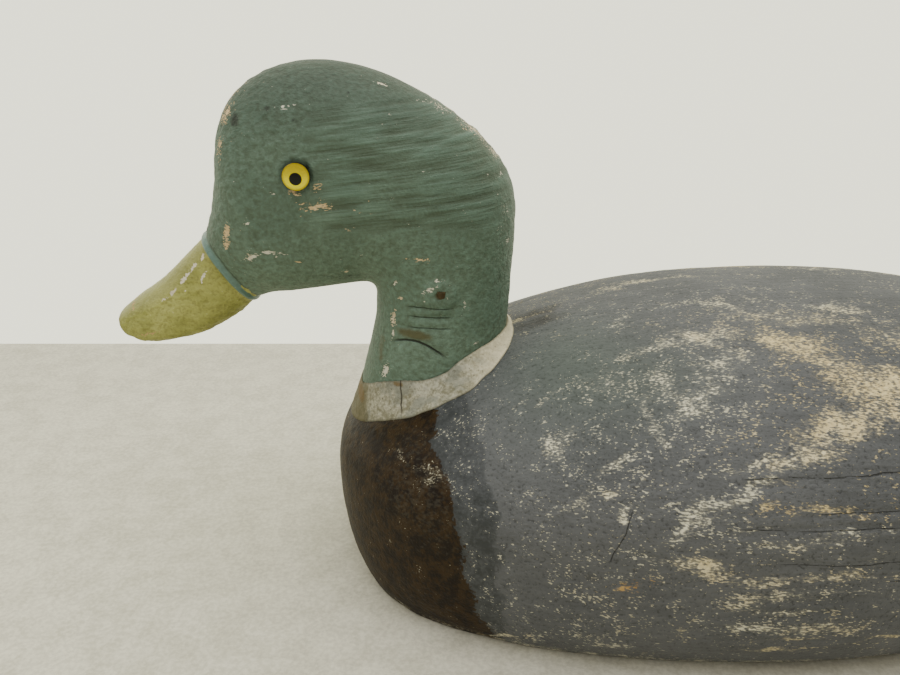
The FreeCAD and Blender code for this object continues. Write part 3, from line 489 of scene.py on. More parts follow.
def carvedHeight(points, girth):
    # slow undulation + tool facets + long grain ridges down the sides - dents and splits, all in millimetres
    x, y = points[..., 0], points[..., 1]
    along, down = otherSide(x, girth, y)
    slow = 0.16 * roughness(points, (34, 20, 20), 3)
    facets = 0.09 * roughness(points, (11, 5, 5), 11, 2)
    grain = 0.10 * roughness(points, (46, 1.9, 1.9), 23) * smooth(down, 55, 84) * smooth(x, -34, -4)
    pits = -0.10 * smooth(roughness(points, (3.2, 2.2, 2.2), 31), 0.30, 0.75)
    wander = 1.2 * roughness(points, (9, 9, 9), 41)
    dents = strokesOn(bodyDents, along, down + wander)
    chipped = marksOn(bodyWear, along, down)[0]
    worn = -0.12 * smooth(chipped + 0.35 * roughness(points, 3.0, 53, 2), 0.65, 0.95)
    return slow + facets + grain + pits + worn - dents - body["inset"]


def bodyMasks(points, girth):
    x, y, z = np.moveaxis(points, -1, 0)
    along, down = otherSide(x, girth, y)
    ragged = [1.7 * roughness(points, 9, seed) + 1.2 * roughness(points, 3.4, seed + 2) for seed in (73, 79)]
    wear, hue = marksOn(bodyWear, along + 1.5 * ragged[0], down + ragged[1])
    specks = marksOn(bodySpecks, along, down)[0]
    rim = smooth(z, 7.0, 2.0) * 0.5  # the lower edge is rubbed
    brown = np.interp(z, *zip(*body["brownEdge"])) - x + 1.6 * roughness(points, 7.0, 61, 2)
    band = np.interp(z, *zip(*body["bandEdge"])) - x + 1.8 * roughness(points, 9.0, 67, 2)
    green = blob(along, down, (-58, 32), (20, 24)) + 0.5 * blob(along, down, (-35, 48), (18, 14))
    grime = blob(x, np.abs(y), (-62, 4), (13, 7)) + 0.8 * blob(along, down, (-52, 100), (5, 3), 20)
    return {
        "wear": np.maximum(wear, rim),
        "hue": hue,
        "specks": specks,
        "brown": np.clip(brown, -20, 20),
        "band": np.clip(band, -20, 20),
        "green": green,
        "grime": grime,
        "dust": blob(x, z, (-98, 47), (16, 16)) + 0.5 * blob(x, z, (-100, 12), (20, 12)),
    }


def withFlat(values, width):  # the columns past the shaped ones take the last column's values
    return np.concatenate([values, np.repeat(values[:, -1:], width, axis=1)], axis=1)


def upperHalf():
    # over the back from seam to seam, then straight back along the seam
    section = bodySections(easedSpread(topReaches[0], topReaches[-1], body["rows"]))
    start = angleAtHeight(section, seamHeight)
    start = np.where(section[4] > seamHeight, -math.pi / 2 + 0.01, start)
    angle = start + (math.pi - 2 * start) * np.linspace(0, 1, body["arc"])
    arc = bodyPoints(section, angle)
    girth = girthOf(arc, 0.0)
    girth = np.abs(girth - girth[:, -1:] / 2)
    ends = smooth(section[1], *body["endFade"])
    seamEdges = arc[:, [0, -1], 2]
    arc = pushedOut(arc, [0, 0, seamHeight], carvedHeight(arc, girth) * ends, closed=False)
    arc[:, [0, -1], 2] = seamEdges
    masks = {name: withFlat(values, body["cap"]) for name, values in bodyMasks(arc, girth).items()}
    lid = straight(arc[:, -1], arc[:, 0], body["cap"])
    return np.concatenate([arc, lid], axis=1), masks, girth[:, -1], section[0]


upperGrid, upperMasks, seamGirth, seamX = upperHalf()
# the line tie's pocket, from the staple's middle
pocket = {"ahead": 9.0, "behind": 25.0, "half": 13.8, "corner": 3.0, "depth": 10.0}
weightLow, weightHigh = boxOf("ballast_weight")
stapleLow, stapleHigh = boxOf("line_staple")
tieMiddle = (stapleLow[0] + stapleHigh[0]) / 2
pocketEnds = (tieMiddle - pocket["ahead"], tieMiddle + pocket["behind"])
recesses = [  # first x, last x, half width, corner, depth
    (weightLow[0], weightHigh[0], weightHigh[1], body["weightCorner"], weightHigh[2]),
    (*pocketEnds, pocket["half"], pocket["corner"], pocket["depth"]),
]


def recessAt(x):  # half width and depth of the recess at x, with its rounded corners; no depth elsewhere
    half = np.full(x.shape, 15.0)
    depth = np.zeros(x.shape)
    for first, last, wide, corner, deep in recesses:
        inside = (x > first) & (x < last)
        near = np.clip(corner - np.minimum(x - first, last - x), 0, corner)
        half = np.where(inside, wide - corner + np.sqrt(corner**2 - near**2), half)
        depth = np.where(inside, deep, depth)
    return half, depth


def soleRows():  # lengths of the lower half's sections, with a close pair at each end of each recess
    extra = []
    for first, last, _, corner, _ in recesses:
        for end, inwards in ((first, 1), (last, -1)):
            extra += [end + 0.004, end - 0.004]
            extra += [end + inwards * corner * share for share in (0.02, 0.1, 0.25, 0.5, 0.8)]
    at = easedSpread(bottomReaches[0], bottomReaches[-1], body["rows"] - 30)
    return np.sort(np.concatenate([at, np.interp(extra, fineX, fine)]))


def soleFlat(right, left):
    # from edge to edge of the flat: out to the recess, straight up its wall, across its floor and back down
    x, wide = right[:, 0], np.maximum(right[:, 1], 1e-3)
    half, depth = recessAt(x)
    half = np.minimum(half, wide * 0.6)
    margin, inner = np.linspace(0, 1, 16)[None, :], np.linspace(1, -1, 30)[None, :]
    y = np.concatenate([
        wide[:, None] * (1 - margin) + half[:, None] * margin,
        half[:, None] * inner,
        -half[:, None] * (1 - margin) - wide[:, None] * margin,
    ], axis=1)[:, 1:-1]
    z = np.zeros(y.shape)
    z[:, 15:45] = depth[:, None]
    flat = np.stack([np.broadcast_to(x[:, None], y.shape), y, z], axis=-1)
    saw = body["bottomLift"] + body["sawn"] * (0.5 + 0.5 * roughness(flat, (1.3, 40, 40), 71))
    level = (z < 0.5) & (np.abs(y) < wide[:, None] - 0.5)
    flat[..., 2] += np.where(level, saw, 0)
    flat[..., 2] = np.maximum(flat[..., 2], np.minimum(right[:, 2:3], left[:, 2:3]) * (depth[:, None] == 0))
    return flat


def lowerHalf():
    # down from the seam on the right, across the flat bottom, up on the left, back along the seam
    section = bodySections(soleRows())
    seam = np.maximum(angleAtHeight(section, seamHeight), -math.pi / 2)
    seam = np.where(section[3] < seamHeight, math.pi / 2, seam)
    sole = np.minimum(angleAtHeight(section, 0.0), seam)
    share = np.linspace(0, 1, body["arc"] // 3)
    sides = []
    firstGirth = np.interp(section[0], seamX[:, 0], seamGirth)
    for start, turn in ((seam, 1), (math.pi - seam, -1)):
        side = bodyPoints(section, start + turn * (sole - seam) * share)
        girth = girthOf(side, firstGirth)
        height = carvedHeight(side, girth) * smooth(section[1], *body["endFade"])
        seamEdge = side[:, 0, 2]
        side = pushedOut(side, [0, 0, seamHeight], height, closed=False)
        side[..., 2] = np.maximum(side[..., 2], body["bottomLift"])
        side[:, 0, 2] = seamEdge
        sides.append((side, bodyMasks(side, girth)))
    (right, rightMasks), (left, leftMasks) = sides
    left = left[:, ::-1]
    flat = soleFlat(right[:, -1], left[:, 0])
    lid = straight(left[:, -1], right[:, 0], body["cap"])
    masks = {}
    for name, values in rightMasks.items():
        other = leftMasks[name][:, ::-1]
        between = np.repeat((values[:, -1:] + other[:, :1]) / 2, flat.shape[1], axis=1)
        masks[name] = withFlat(np.concatenate([values, between, other], axis=1), body["cap"])
    for name, values in (("sole", 1), ("cavity", flat[..., 2] > 1.0)):
        masks[name] = np.zeros(masks["wear"].shape)
        masks[name][:, right.shape[1]:right.shape[1] + flat.shape[1]] = values
    return np.concatenate([right, flat, left, lid], axis=1), masks


def bodyFinish(name):
    # grey over white primer over wood, which show wherever wear + grit passes a threshold; brown covers the
    # breast and slate the next strip, both up to a wavering edge
    paint = Finish(name, painted | {"Specular IOR Level": 0.14}, (1.1, 1), (4.5, 2))
    fine, mid = paint.fine, paint.mid
    brushed = paint.noise((24, 1.6, 1.6), 4, 4)
    grit = paint.noise((1.25, 0.42, 0.46), 5, 4, 0.5, turn=8)
    bluish = paint.step(paint.noise(38, 3, 2), 0.35, 0.65)
    paint.colour = paint.mix(bluish, (0.088, 0.092, 0.094), (0.106, 0.110, 0.112))
    paint.cover(paint.mask("green") * 0.7, (0.086, 0.106, 0.090))
    pores = paint.noise((0.9, 0.7, 0.7), 8, 2)
    pitted = paint.step(paint.rough(pores, 0, 0.5), 0.44, 0.30)
    # painted light: the grey is made lighter from 38 mm down to 4 mm, standing in for bounce light from the
    # table; the brushed cloud adds the paint's own streaky tone
    bounceLightAndBrushTone = 0.44 + paint.step(paint.z, 38, 4) * 0.16 + brushed * 0.46
    paint.colour = paint.tint(paint.colour, bounceLightAndBrushTone + mid * 0.34 + fine * 0.36 - pitted * 0.34)
    band = paint.step(paint.rough("band", 11, 3), -0.8, 1.4)
    slate = paint.mix(paint.step(mid + fine, 0.75, 1.2), (0.036, 0.040, 0.040), (0.066, 0.071, 0.073))
    paint.cover(band, slate)
    brown = paint.step(paint.rough("brown", 4, 5), -0.4, 0.5)
    umber = paint.step(paint.rough(mid, 0, 0.8), 0.36, 0.66)
    umber = paint.mix(umber, (0.007, 0.0032, 0.0005), (0.028, 0.0150, 0.0032))
    powder = paint.noise((2.4, 1.2, 0.9), 9, 4)
    dust = paint.step(paint.mask("dust") * 0.5 + (powder - 0.5) * 2.2, 0.32, 0.75)
    paint.cover(brown, paint.mix(dust * 0.26, umber, (0.085, 0.078, 0.058)))
    grime = paint.step(paint.rough("grime", 1.1), 0.45, 1.1)
    paint.cover(grime * 0.72, (0.030, 0.028, 0.024))

    wear, hue = paint.mask("wear"), paint.mask("hue")
    thick = wear * 1.12 - brown * 0.42 * (1 - paint.step(wear, 0.7, 1.0))
    thick = thick.largest(paint.mask("specks") * 0.42 - brown * 0.5)
    patches = paint.rough(thick + (grit - 0.5) * 5.2, 2.6, 1.2)
    bare = paint.step(patches, 0.88, 1.12)
    haze = paint.step(patches, 0.0, 1.0) * paint.step(wear, 0.2, 0.7)
    wood = paint.mix(fine, (0.46, 0.34, 0.13), (0.92, 0.79, 0.46))
    wood = paint.mix(paint.step(paint.rough(hue, 1.6), 1.05, 1.5), wood, (0.46, 0.28, 0.09))
    primer = paint.mix(fine, (0.48, 0.45, 0.31), (0.98, 0.94, 0.72))
    shows = (bare * (0.62 + paint.step(wear, 0.25, 0.7) * 0.28)).largest(haze * 0.3)
    paint.cover(shows, paint.mix(paint.step(paint.rough(hue, 0.8), 0.25, 0.95), primer, wood))

    waver = paint.rough((paint.noise((30, 14, 14), 6, 2) - 0.5) * 3.5, 1.2)
    splits = paint.line(paint.z - 65.5 - paint.x * 0.03 + waver, 0.17, paint.x, -17, 70)
    for height, slope, start, end in bodySplits:
        gap = paint.z - height - paint.x * slope + waver * 0.8
        splits = splits.largest(paint.line(gap, 0.15, paint.x, start, end))
    upright = paint.line(paint.x + 66.0 - paint.z * 0.42 + waver * 1.1, 0.20, paint.z, 39, 57)
    splits = (splits * paint.step(brushed, 0.38, 0.5)).largest(upright) * paint.step(paint.y.size(), 30, 44)
    seam = paint.line(paint.rough(paint.z - seamHeight, 0, 0.6), 0.2, paint.x, 22, 180)
    splits = splits.largest(seam * 0.8) * paint.step(mid + fine, 0.80, 0.95)
    paint.cover(splits * 0.6, (0.014, 0.013, 0.011))
    paint.put(paint.colour, roughness=0.60 + fine * 0.2 + shows * 0.16, coat=band * (1 - shows) * 0.18)
    return paint, [(brushed, 0.26), (fine, 0.34), (pores, 0.24), (1 - shows, 0.16), (1 - splits, 0.5)]


def lowerFinish():
    # the sides as above; the sawn sole is bare grey wood with saw marks, and old paint run in from its edge
    paint, layers = bodyFinish("body_lower_paint")
    marks, blotch = paint.noise((0.8, 26, 26), 12, 3), paint.noise(16, 13, 3)
    wood = paint.mix(marks, (0.15, 0.125, 0.092), (0.25, 0.215, 0.16))
    stained = paint.step(blotch + paint.noise(2.2, 14) * 0.4, 0.50, 0.95)
    sole = paint.mix(stained, wood, (0.135, 0.13, 0.115))
    sole = paint.mix(paint.mask("cavity") * 0.6, sole, (0.10, 0.072, 0.045))
    paint.cover(paint.mask("sole"), sole)
    paint.put(paint.colour)
    return paint.relief(*layers, (marks, 0.12))


def upperFinish():
    paint, layers = bodyFinish("body_upper_paint")
    return paint.relief(*layers)


makePiece("body_top_carved", upperGrid, upperMasks, ["body_top"], upperFinish())
lowerGrid, lowerMasks = lowerHalf()
makePiece("body_bottom_carved", lowerGrid, lowerMasks, ["body_bottom"], lowerFinish())

# head and neck

head = {
    # inner x, z, outer x, z from the jaw corner, percent of length and height; half width; widest
    "stations": [
        (-46.2, -11.0, -62.3, 16.2, 52.0, 50.0),
        (-41.2, -7.0, -57.8, 23.8, 55.0, 50.0),
        (-35.2, -3.5, -53.9, 35.3, 71.0, 52.0),
        (-27.0, -2.1, -50.8, 51.5, 87.5, 52.0),
        (-18.8, -0.7, -49.1, 69.1, 95.8, 52.0),
        (-11.8, 0.6, -44.1, 84.6, 98.3, 52.0),
        (-6.4, 1.5, -33.9, 95.3, 100.0, 52.0),
        (-2.9, 1.8, -19.5, 100.3, 100.0, 52.0),
        (-0.8, 1.2, -0.5, 97.2, 100.0, 52.0),
        (0.1, -0.3, 18.9, 85.6, 100.0, 54.0),
        (0.3, -2.9, 36.3, 68.8, 98.8, 55.0),
        (0.1, -6.8, 46.7, 48.8, 97.1, 55.0),
    ],
    "neck": [  # front forward, front down, back behind, back down, half width, widest
        (2.4, 10.0, 22.0, 25.0, 97.0, 55.0),
        (19.0, 27.0, 16.0, 46.5, 95.7, 54.0),
        (50.0, 54.0, 10.0, 66.0, 97.9, 52.0),
        (100.0, 100.0, 0.0, 100.0, 100.0, 50.0),
    ],
    "power": 2.3,
    "length": 92.0,
    "crownRise": 68.0,
    "neckRise": 45.4,
    "neckLean": 8.4,
    "neckFront": 5.5,
    "neckLength": 51.0,
    "neckWidth": 47.0,
    "seatSink": 3.5,
    "rows": 330,
    "around": 280,
    "nailAt": -93.2,
    "nailHeight": 98.0,
    "plugHeight": 97.4,  # of the putty over the nail
    "cutHeights": (93.7, 90.7, 87.3),
    "crescent": (-102.3, 83.1, 0.040),  # x and height of its top, and how fast it falls away
    "rowPower": 1.06,  # crowds the rows towards the bill
    "frontReach": -1.2,  # of the middle of its side beyond the top and bottom of the joint
    "frontTrim": 1.0,
    "inset": 0.3,
}

# Places on the head are x and height. Centre, half length, half width, turn, strength, hue from white to tan.
headWear = [
    (-133, 128.6, 2.4, 1, 0, 1, 1), (-139.5, 128.3, 1.8, 0.5, 0, 0.9, 0.3),
    (-127.5, 124.6, 5.2, 1.5, 2, 1.1, 0.9), (-155.2, 116, 3.8, 1.3, 72, 1.15, 0.8),
    (-155.8, 112.5, 2.4, 1.4, 80, 1.1, 0.8), (-147.5, 109.2, 3.4, 1, 24, 1.05, 0.4),
    (-141.5, 110.6, 4.2, 0.7, -8, 0.95, 0.2), (-148, 119.5, 1.6, 0.6, 0, 0.85, 0.2),
    (-134.5, 107.5, 1.2, 0.5, -20, 0.9, 0.9), (-100, 109, 3.6, 0.5, 0, 0.92, 0.9),
    (-107.6, 88.5, 3.2, 1.1, 84, 1.1, 0.6), (-107.8, 84, 2, 0.8, 84, 1, 0.4),
    (-105, 96, 0.8, 0.6, 0, 0.95, 0.5), (-106.6, 100.5, 1.6, 0.6, 60, 0.9, 0.3),
    (-96, 99.8, 2.6, 0.9, 30, 1.05, 0.3), (-93.5, 102.4, 1.6, 0.8, 0, 0.95, 0.2),
    (-97.3, 96, 0.7, 0.6, 0, 0.95, 0.3), (-110.3, 72, 3, 1.2, 62, 1.1, 0.3),
    (-154, 149, 2.2, 5, -20, 0.82, 0.9), (-152, 155, 2, 5, -40, 0.7, 0.9),
    (-155.5, 140, 1.5, 4, -5, 0.74, 0.9), (-82, 143.5, 9, 1.6, -36, 0.84, 0.6),
    (-76.5, 138, 5, 1.6, -50, 0.82, 0.5), (-92, 150, 7, 1.2, -22, 0.62, 0.4),
    (-126.2, 132.6, 1.7, 0.35, 0, 0.9, 0.8), (-126.4, 130.9, 1.6, 0.35, 0, 0.9, 0.8),
    (-127.4, 129.6, 1.2, 0.35, 0, 0.85, 0.8), (-109, 157, 2.6, 0.5, -14, 0.85, 0.4),
    (-106.5, 149.4, 0.7, 0.9, 0, 0.95, 0), (-108.5, 146.8, 0.6, 0.7, 0, 0.9, 0),
    (-135, 151.5, 5.5, 0.9, 8, 0.7, 0), (-117, 123.5, 2.4, 0.5, 0, 0.75, 0.7),
    (-118.5, 118, 2.8, 0.5, 12, 0.78, 0.6), (-72.5, 112, 0.9, 1, 0, 0.9, 0.1),
    (-74.5, 132, 0.8, 0.8, 0, 0.9, 0), (-79, 132.5, 0.7, 0.5, 0, 0.9, 0.3),
    (-85.5, 95, 0.7, 0.7, 0, 0.95, 0.3), (-122, 103.3, 3, 0.5, 5, 0.75, 0.6),
    (-82, 82, 1.4, 0.5, 0, 0.7, 0.2), (-74, 120, 2, 8, 0, 0.40, 0.2),
]
headGrime = [  # the same, without a hue
    (-150.5, 147.5, 2.2, 2.6, 0, 1.1), (-140.5, 151, 1.6, 1.1, 0, 0.9), (-132.5, 148, 1.8, 0.9, 0, 0.8),
    (-138.5, 160.5, 1.8, 1.2, 0, 0.8), (-129.5, 135.6, 0.8, 0.8, 0, 1.4), (-118, 155, 0.6, 0.5, 0, 1),
    (-154, 135, 3, 10, 0, 0.5), (-120, 101.5, 18, 2.2, 3, 0.62), (-150, 100, 6, 3, -40, 0.5),
]
# rust-brown stains, and painted shade: the long mark above the crescent cut is painted shade in the gouge
# there as well as stain; the round spot is rust from the nail
headStainAndGougeShade = [
    (-101, 85.2, 7.5, 1.9, -6, 1), (-93.2, 98, 1.25, 1.25, 0, 1.3), (-111.5, 78, 1.6, 9, -6, 0.6),
]
headCuts = [  # width, depth and points
    (0.8, 0.5, [(-101, 93.6), (-89.5, 93.9)]),
    (0.8, 0.5, [(-101.5, 90.6), (-90, 90.7)]),
    (0.8, 0.42, [(-104.5, 87.2), (-91, 87.2)]),
    (0.9, 0.55, [(-106, 82.2), (-101.5, 83.1), (-97, 82), (-93, 79.8)]),
]


def bodyTopAt(x):  # height of the middle line of the back
    return np.interp(x, fineX, fineSections[3][:, 0])


def onSeat(x):
    return np.array([x, 0.0, bodyTopAt(x) - head["seatSink"]])


seatFront = onSeat(bodyLow[0] + head["neckFront"])
seatBack = onSeat(seatFront[0] + head["neckLength"])
jawCorner = seatFront + [head["neckLean"], 0, head["neckRise"]]


def headStations():
    table = np.array(head["stations"]) / 100
    half = (boxOf("head_block")[1][1] - boxOf("head_block")[0][1]) / 2
    inner = jawCorner[[0, 2]] + table[:, 0:2] * [head["length"], head["crownRise"]]
    outer = jawCorner[[0, 2]] + table[:, 2:4] * [head["length"], head["crownRise"]]
    upper = np.column_stack([inner, outer, table[:, 4] * half, table[:, 5]])
    frontX, frontZ, _, backZ = upper[-1][:4]
    neck = np.array(head["neck"]) / 100
    lower = np.column_stack([
        frontX + (seatFront[0] - frontX) * neck[:, 0],
        frontZ + (seatFront[2] - frontZ) * neck[:, 1],
        seatBack[0] + head["neckLean"] * neck[:, 2],
        backZ + (seatBack[2] - backZ) * neck[:, 3],
        neck[:, 4] * head["neckWidth"] / 2,
        neck[:, 5],
    ])
    return np.concatenate([upper, lower])


def fanLengths(rows):  # running length along a line nearer the outer edge of the fan
    return runningLengths((rows[:, 0:2] + 3 * rows[:, 2:4]) / 4)


def fanPoints(rows, lengths, at, angle, power):
    # on the line from inner to outer point: share = widest + rest * sin^(2/n); y = half width * cos^(2/n)
    innerX, innerZ, outerX, outerZ, half, widest = np.moveaxis(splineAt(rows, lengths, at), -1, 0)
    up = signedPower(np.sin(angle), 2 / power)
    share = widest + np.where(up >= 0, 1 - widest, widest) * up
    y = half * signedPower(np.cos(angle), 2 / power)
    return np.stack([innerX + (outerX - innerX) * share, y, innerZ + (outerZ - innerZ) * share], axis=-1)


headRows = headStations()
headLengths = fanLengths(headRows)
eyeLow, eyeHigh = boxOf("eye_glass_left")
eyeMiddle = (eyeLow + eyeHigh) / 2
eyeRadius = (eyeHigh[0] - eyeLow[0]) / 2


def headSide(x, z, y):  # the right side is carved and worn in its own way: marks moved about a little
    right = y > 0
    return np.where(right, x + 5 * np.sin(z / 11), x), np.where(right, z + 4 * np.sin(x / 13), z)


def combed(points):
    # ridges swept back from the eye: noise stretched along a line that rises gently to the rear
    x, y, z = np.moveaxis(points, -1, 0)
    wave = 1.5 * roughness(points, (17, 17, 17), 83)
    turned = np.stack([x + 0.1 * z, y * 0.25, z - 0.09 * x + wave], axis=-1)
    field = smooth(x, -136, -120) * smooth(x, -66, -82) * smooth(z, 113, 121) * smooth(z, 158, 146)
    fineRidges = roughness(turned, (9, 9, 1.05), 89)
    broadRidges = roughness(turned, (15, 12, 2.1), 97)
    return (0.30 * fineRidges + 0.14 * broadRidges) * field, field


def headHeight(points):
    # slow undulation + combed ridges + pebbles before the eye and down the nape - cuts, in millimetres
    x, y, z = np.moveaxis(points, -1, 0)
    sideX, sideZ = headSide(x, z, y)
    slow = 0.18 * roughness(points, (18, 14, 16), 101)
    ridges, field = combed(points)
    pebbled = np.maximum(smooth(x, -128, -142), 0.75 * smooth(x, -92, -80)) * smooth(z, 78, 96)
    pebbles = 0.16 * roughness(points, (2.4, 2.0, 2.0), 103) * pebbled
    knife = 0.07 * roughness(points, (6, 4, 4), 107, 2)
    worn = -0.14 * smooth(marksOn(headWear, sideX, sideZ)[0] + 0.3 * roughness(points, 2.2, 109), 0.7, 0.95)
    cuts = strokesOn(headCuts, sideX, sideZ) * smooth(np.abs(y), 10, 15)
    fromEye = np.hypot(x - eyeMiddle[0], z - eyeMiddle[2])
    rim = 0.28 * np.exp(-((fromEye - eyeRadius - 1.4) / 0.7) ** 2)
    rim = rim - 0.5 * smooth(fromEye, eyeRadius + 0.7, eyeRadius)
    rim = rim - 0.7 * blob(x, z, (eyeMiddle[0] + 3.0, eyeMiddle[2] + 3.1), (0.8, 0.8))
    seen = smooth(np.abs(y), 8, 14)
    fromPlug = np.hypot(x - head["nailAt"], z - head["plugHeight"])
    fromNail = np.hypot(x - head["nailAt"], z - head["nailHeight"])
    plug = (1.0 * smooth(fromPlug, 6.5, 3.4) - 0.5 * smooth(fromNail, 1.4, 0.9)) * seen
    return slow + ridges + pebbles + knife + worn - cuts + rim * seen + plug - head["inset"]


def headMasks(points, fromFront):
    x, y, z = np.moveaxis(points, -1, 0)
    sideX, sideZ = headSide(x, z, y)
    wear, hue = marksOn(headWear, sideX, sideZ)
    ridges, field = combed(points)
    stainAndGougeShade = marksOn(headStainAndGougeShade, sideX, sideZ)[0] * smooth(np.abs(y), 6, 12)
    return {
        "wear": wear,
        "hue": hue,
        "grime": marksOn(headGrime, sideX, sideZ)[0],
        "stainAndGougeShade": stainAndGougeShade,
        "combed": field,
        "ridge": 0.5 + ridges * 1.7,
        "bead": smooth(fromFront, 3.6, 2.4) * smooth(fromFront, 0.5, 1.1),
        "joint": np.maximum(smooth(fromFront, 0.9, 0.4), 0.7 * np.exp(-((fromFront - 3.8) / 0.5) ** 2)),
    }


def headGrid():
    # the front edge reaches forwards by a cosine squared in the middle of the side, and is rounded over
    angle = fullTurn(head["around"])[None, :]
    start = headLengths[1] - head["frontTrim"] - head["frontReach"] * np.cos(angle) ** 2
    share = np.linspace(0, 1, head["rows"])[:, None] ** head["rowPower"]
    at = start + (headLengths[-1] - start) * share
    grid = fanPoints(headRows, headLengths, at, np.broadcast_to(angle, at.shape), head["power"])
    fromFront = at - start
    bead = 0.5 * np.exp(-((fromFront - 1.4) / 0.9) ** 2) - 0.35 * np.exp(-((fromFront - 3.2) / 0.9) ** 2)
    rounded = 1.1 * (1 - np.sqrt(1 - np.clip(1 - fromFront / 1.1, 0, 1) ** 2))
    height = headHeight(grid) * smooth(fromFront, 0, 4) + bead - rounded
    height = height - head["inset"] * smooth(fromFront, 4, 0)
    centre = np.stack([grid[..., 0], np.zeros(at.shape), grid[..., 2]], axis=-1).mean(axis=1, keepdims=True)
    return pushedOut(grid, centre, height), headMasks(grid, fromFront)


def headFinish():
    # teal on ridges and olive in hollows, each ridge made lighter and each hollow darker: painted highlight
    # on the ridges and painted shade in the hollows; two shades by slow noise; painted shade darkening it
    # towards the crown; wood or primer where wear + grit is high
    paint = Finish("head_paint", painted | {"Specular IOR Level": 0.28}, (0.9, 31), (3.6, 32))
    fine, mid, slowCloud = paint.fine, paint.mid, paint.noise(22, 33, 2)
    combing = paint.noise((10, 9, 0.72), 34, 3, 0.5, turn=-6)
    pebbling = paint.noise((1.5, 1.3, 1.3), 35, 2)
    grit = paint.noise((1.5, 0.5, 0.45), 38, 4, 0.5, turn=-6)
    field = paint.mask("combed")
    hollow = combing * field + (1 - field) * pebbling
    # painted highlight and shade: the ridges get the lit teal and a lighter tint, the hollows get the shaded
    # olive and a darker tint
    ridgeLightAndShade = paint.rough(hollow * 0.8 + paint.mask("ridge") * 0.55, 0, 0.35) - 0.17
    litTeal = paint.mix(paint.step(slowCloud, 0.38, 0.64), (0.082, 0.132, 0.098), (0.102, 0.158, 0.118))
    shadedOlive = paint.mix(slowCloud, (0.060, 0.085, 0.054), (0.072, 0.099, 0.063))
    paint.colour = paint.mix(paint.step(paint.rough(ridgeLightAndShade, 0.4), 0.1, 0.9), shadedOlive, litTeal)
    paint.cover(paint.step(mid, 0.5, 0.8) * 0.25, (0.078, 0.096, 0.062))
    # painted shade: the colour is made darker from 95 mm upwards, most of all over the crown
    height = 1.26 - paint.step(paint.z, 95, 132) * 0.20 - paint.step(paint.z, 138, 161) * 0.46
    paint.colour = paint.tint(paint.colour, (0.70 + ridgeLightAndShade * 0.64) * height)
    paint.cover(paint.mask("bead") * 0.75, (0.100, 0.190, 0.160))
    paint.cover(paint.mask("joint") * 0.8, (0.012, 0.016, 0.010))
    # rust stain, and painted shade in the gouge above the crescent cut
    stainAndGougeShade = paint.step(paint.rough("stainAndGougeShade", 0.7), 0.35, 0.8)
    paint.cover(stainAndGougeShade * 0.88, (0.056, 0.052, 0.010))
    paint.cover(paint.step(paint.rough("grime", 0.6, 1.2), 0.45, 1.0) * 0.8, (0.016, 0.018, 0.012))

    bare = paint.step(paint.rough("wear", 1.0, 0.9) + (grit - 0.5) * 2.6, 0.66, 0.84)
    few = paint.step(paint.noise(0.8, 36, 2) * 0.55 + mid * 0.45, 0.690, 0.715)
    wood = paint.mix(fine, (0.42, 0.27, 0.10), (0.80, 0.62, 0.36))
    primer = paint.mix(fine, (0.46, 0.45, 0.34), (0.80, 0.78, 0.64))
    shows = (bare * 0.92).largest(few * 0.5)
    paint.cover(shows, paint.mix(paint.step(paint.rough("hue", 0.9), 0.25, 0.9), primer, wood))

    waver = (paint.noise(5, 37) - 0.5) * 0.8
    topAt, topHeight, fall = head["crescent"]
    run = paint.x - topAt
    scores = paint.line(paint.z - topHeight + run * run * fall + waver, 0.50, paint.x, -108.5, -90)
    for height in head["cutHeights"]:
        scores = scores.largest(paint.line(paint.z - height + waver, 0.20, paint.x, -104, -88) * 0.7)
    scores = scores * paint.step(paint.y.size(), 10, 15)
    paint.cover(scores * 0.9, (0.010, 0.010, 0.005))
    gleam = paint.mask("bead") * 0.5 + stainAndGougeShade * 0.5
    paint.put(paint.colour, roughness=0.54 + fine * 0.2 + shows * 0.2, coat=gleam * (1 - shows))
    return paint.relief((hollow, 0.42), (mid, 0.16), (fine, 0.2), (1 - shows, 0.12), (1 - scores, 0.5))


headPoints, masksOfHead = headGrid()
headCovers = ["head_block", "eye_putty_left", "eye_putty_right"]
makePiece("head_carved", headPoints, masksOfHead, headCovers, headFinish(), smoothAngle=65)

# bill

bill = {
    "stations": [  # under x, z, upper x, z from the root's middle, percent of length; half width; widest
        (29.5, -18.5, -7.5, 38.5, 108.0, 45.0),
        (18.5, -24.5, -18.0, 24.5, 89.0, 42.0),
        (8.5, -33.5, -29.9, 13.5, 89.5, 34.0),
        (-6.5, -43.5, -41.8, 1.8, 93.0, 29.0),
        (-24.5, -51.5, -54.1, -9.3, 97.0, 26.0),
        (-44.5, -55.0, -65.9, -17.5, 100.0, 26.0),
        (-61.5, -56.5, -76.7, -24.7, 97.0, 28.0),
        (-75.0, -54.5, -84.9, -31.3, 82.0, 34.0),
        (-84.5, -49.5, -89.5, -37.0, 52.0, 42.0),
        (-89.8, -43.5, -89.8, -43.5, 0.0, 50.0),
    ],
    "power": 2.4,
    "length": 41.0,
    "width": 28.0,
    "rows": 230,
    "around": 210,
    "inset": 0.25,
}
rootMiddle = (headRows[1, 0:2] + headRows[1, 2:4]) / 2
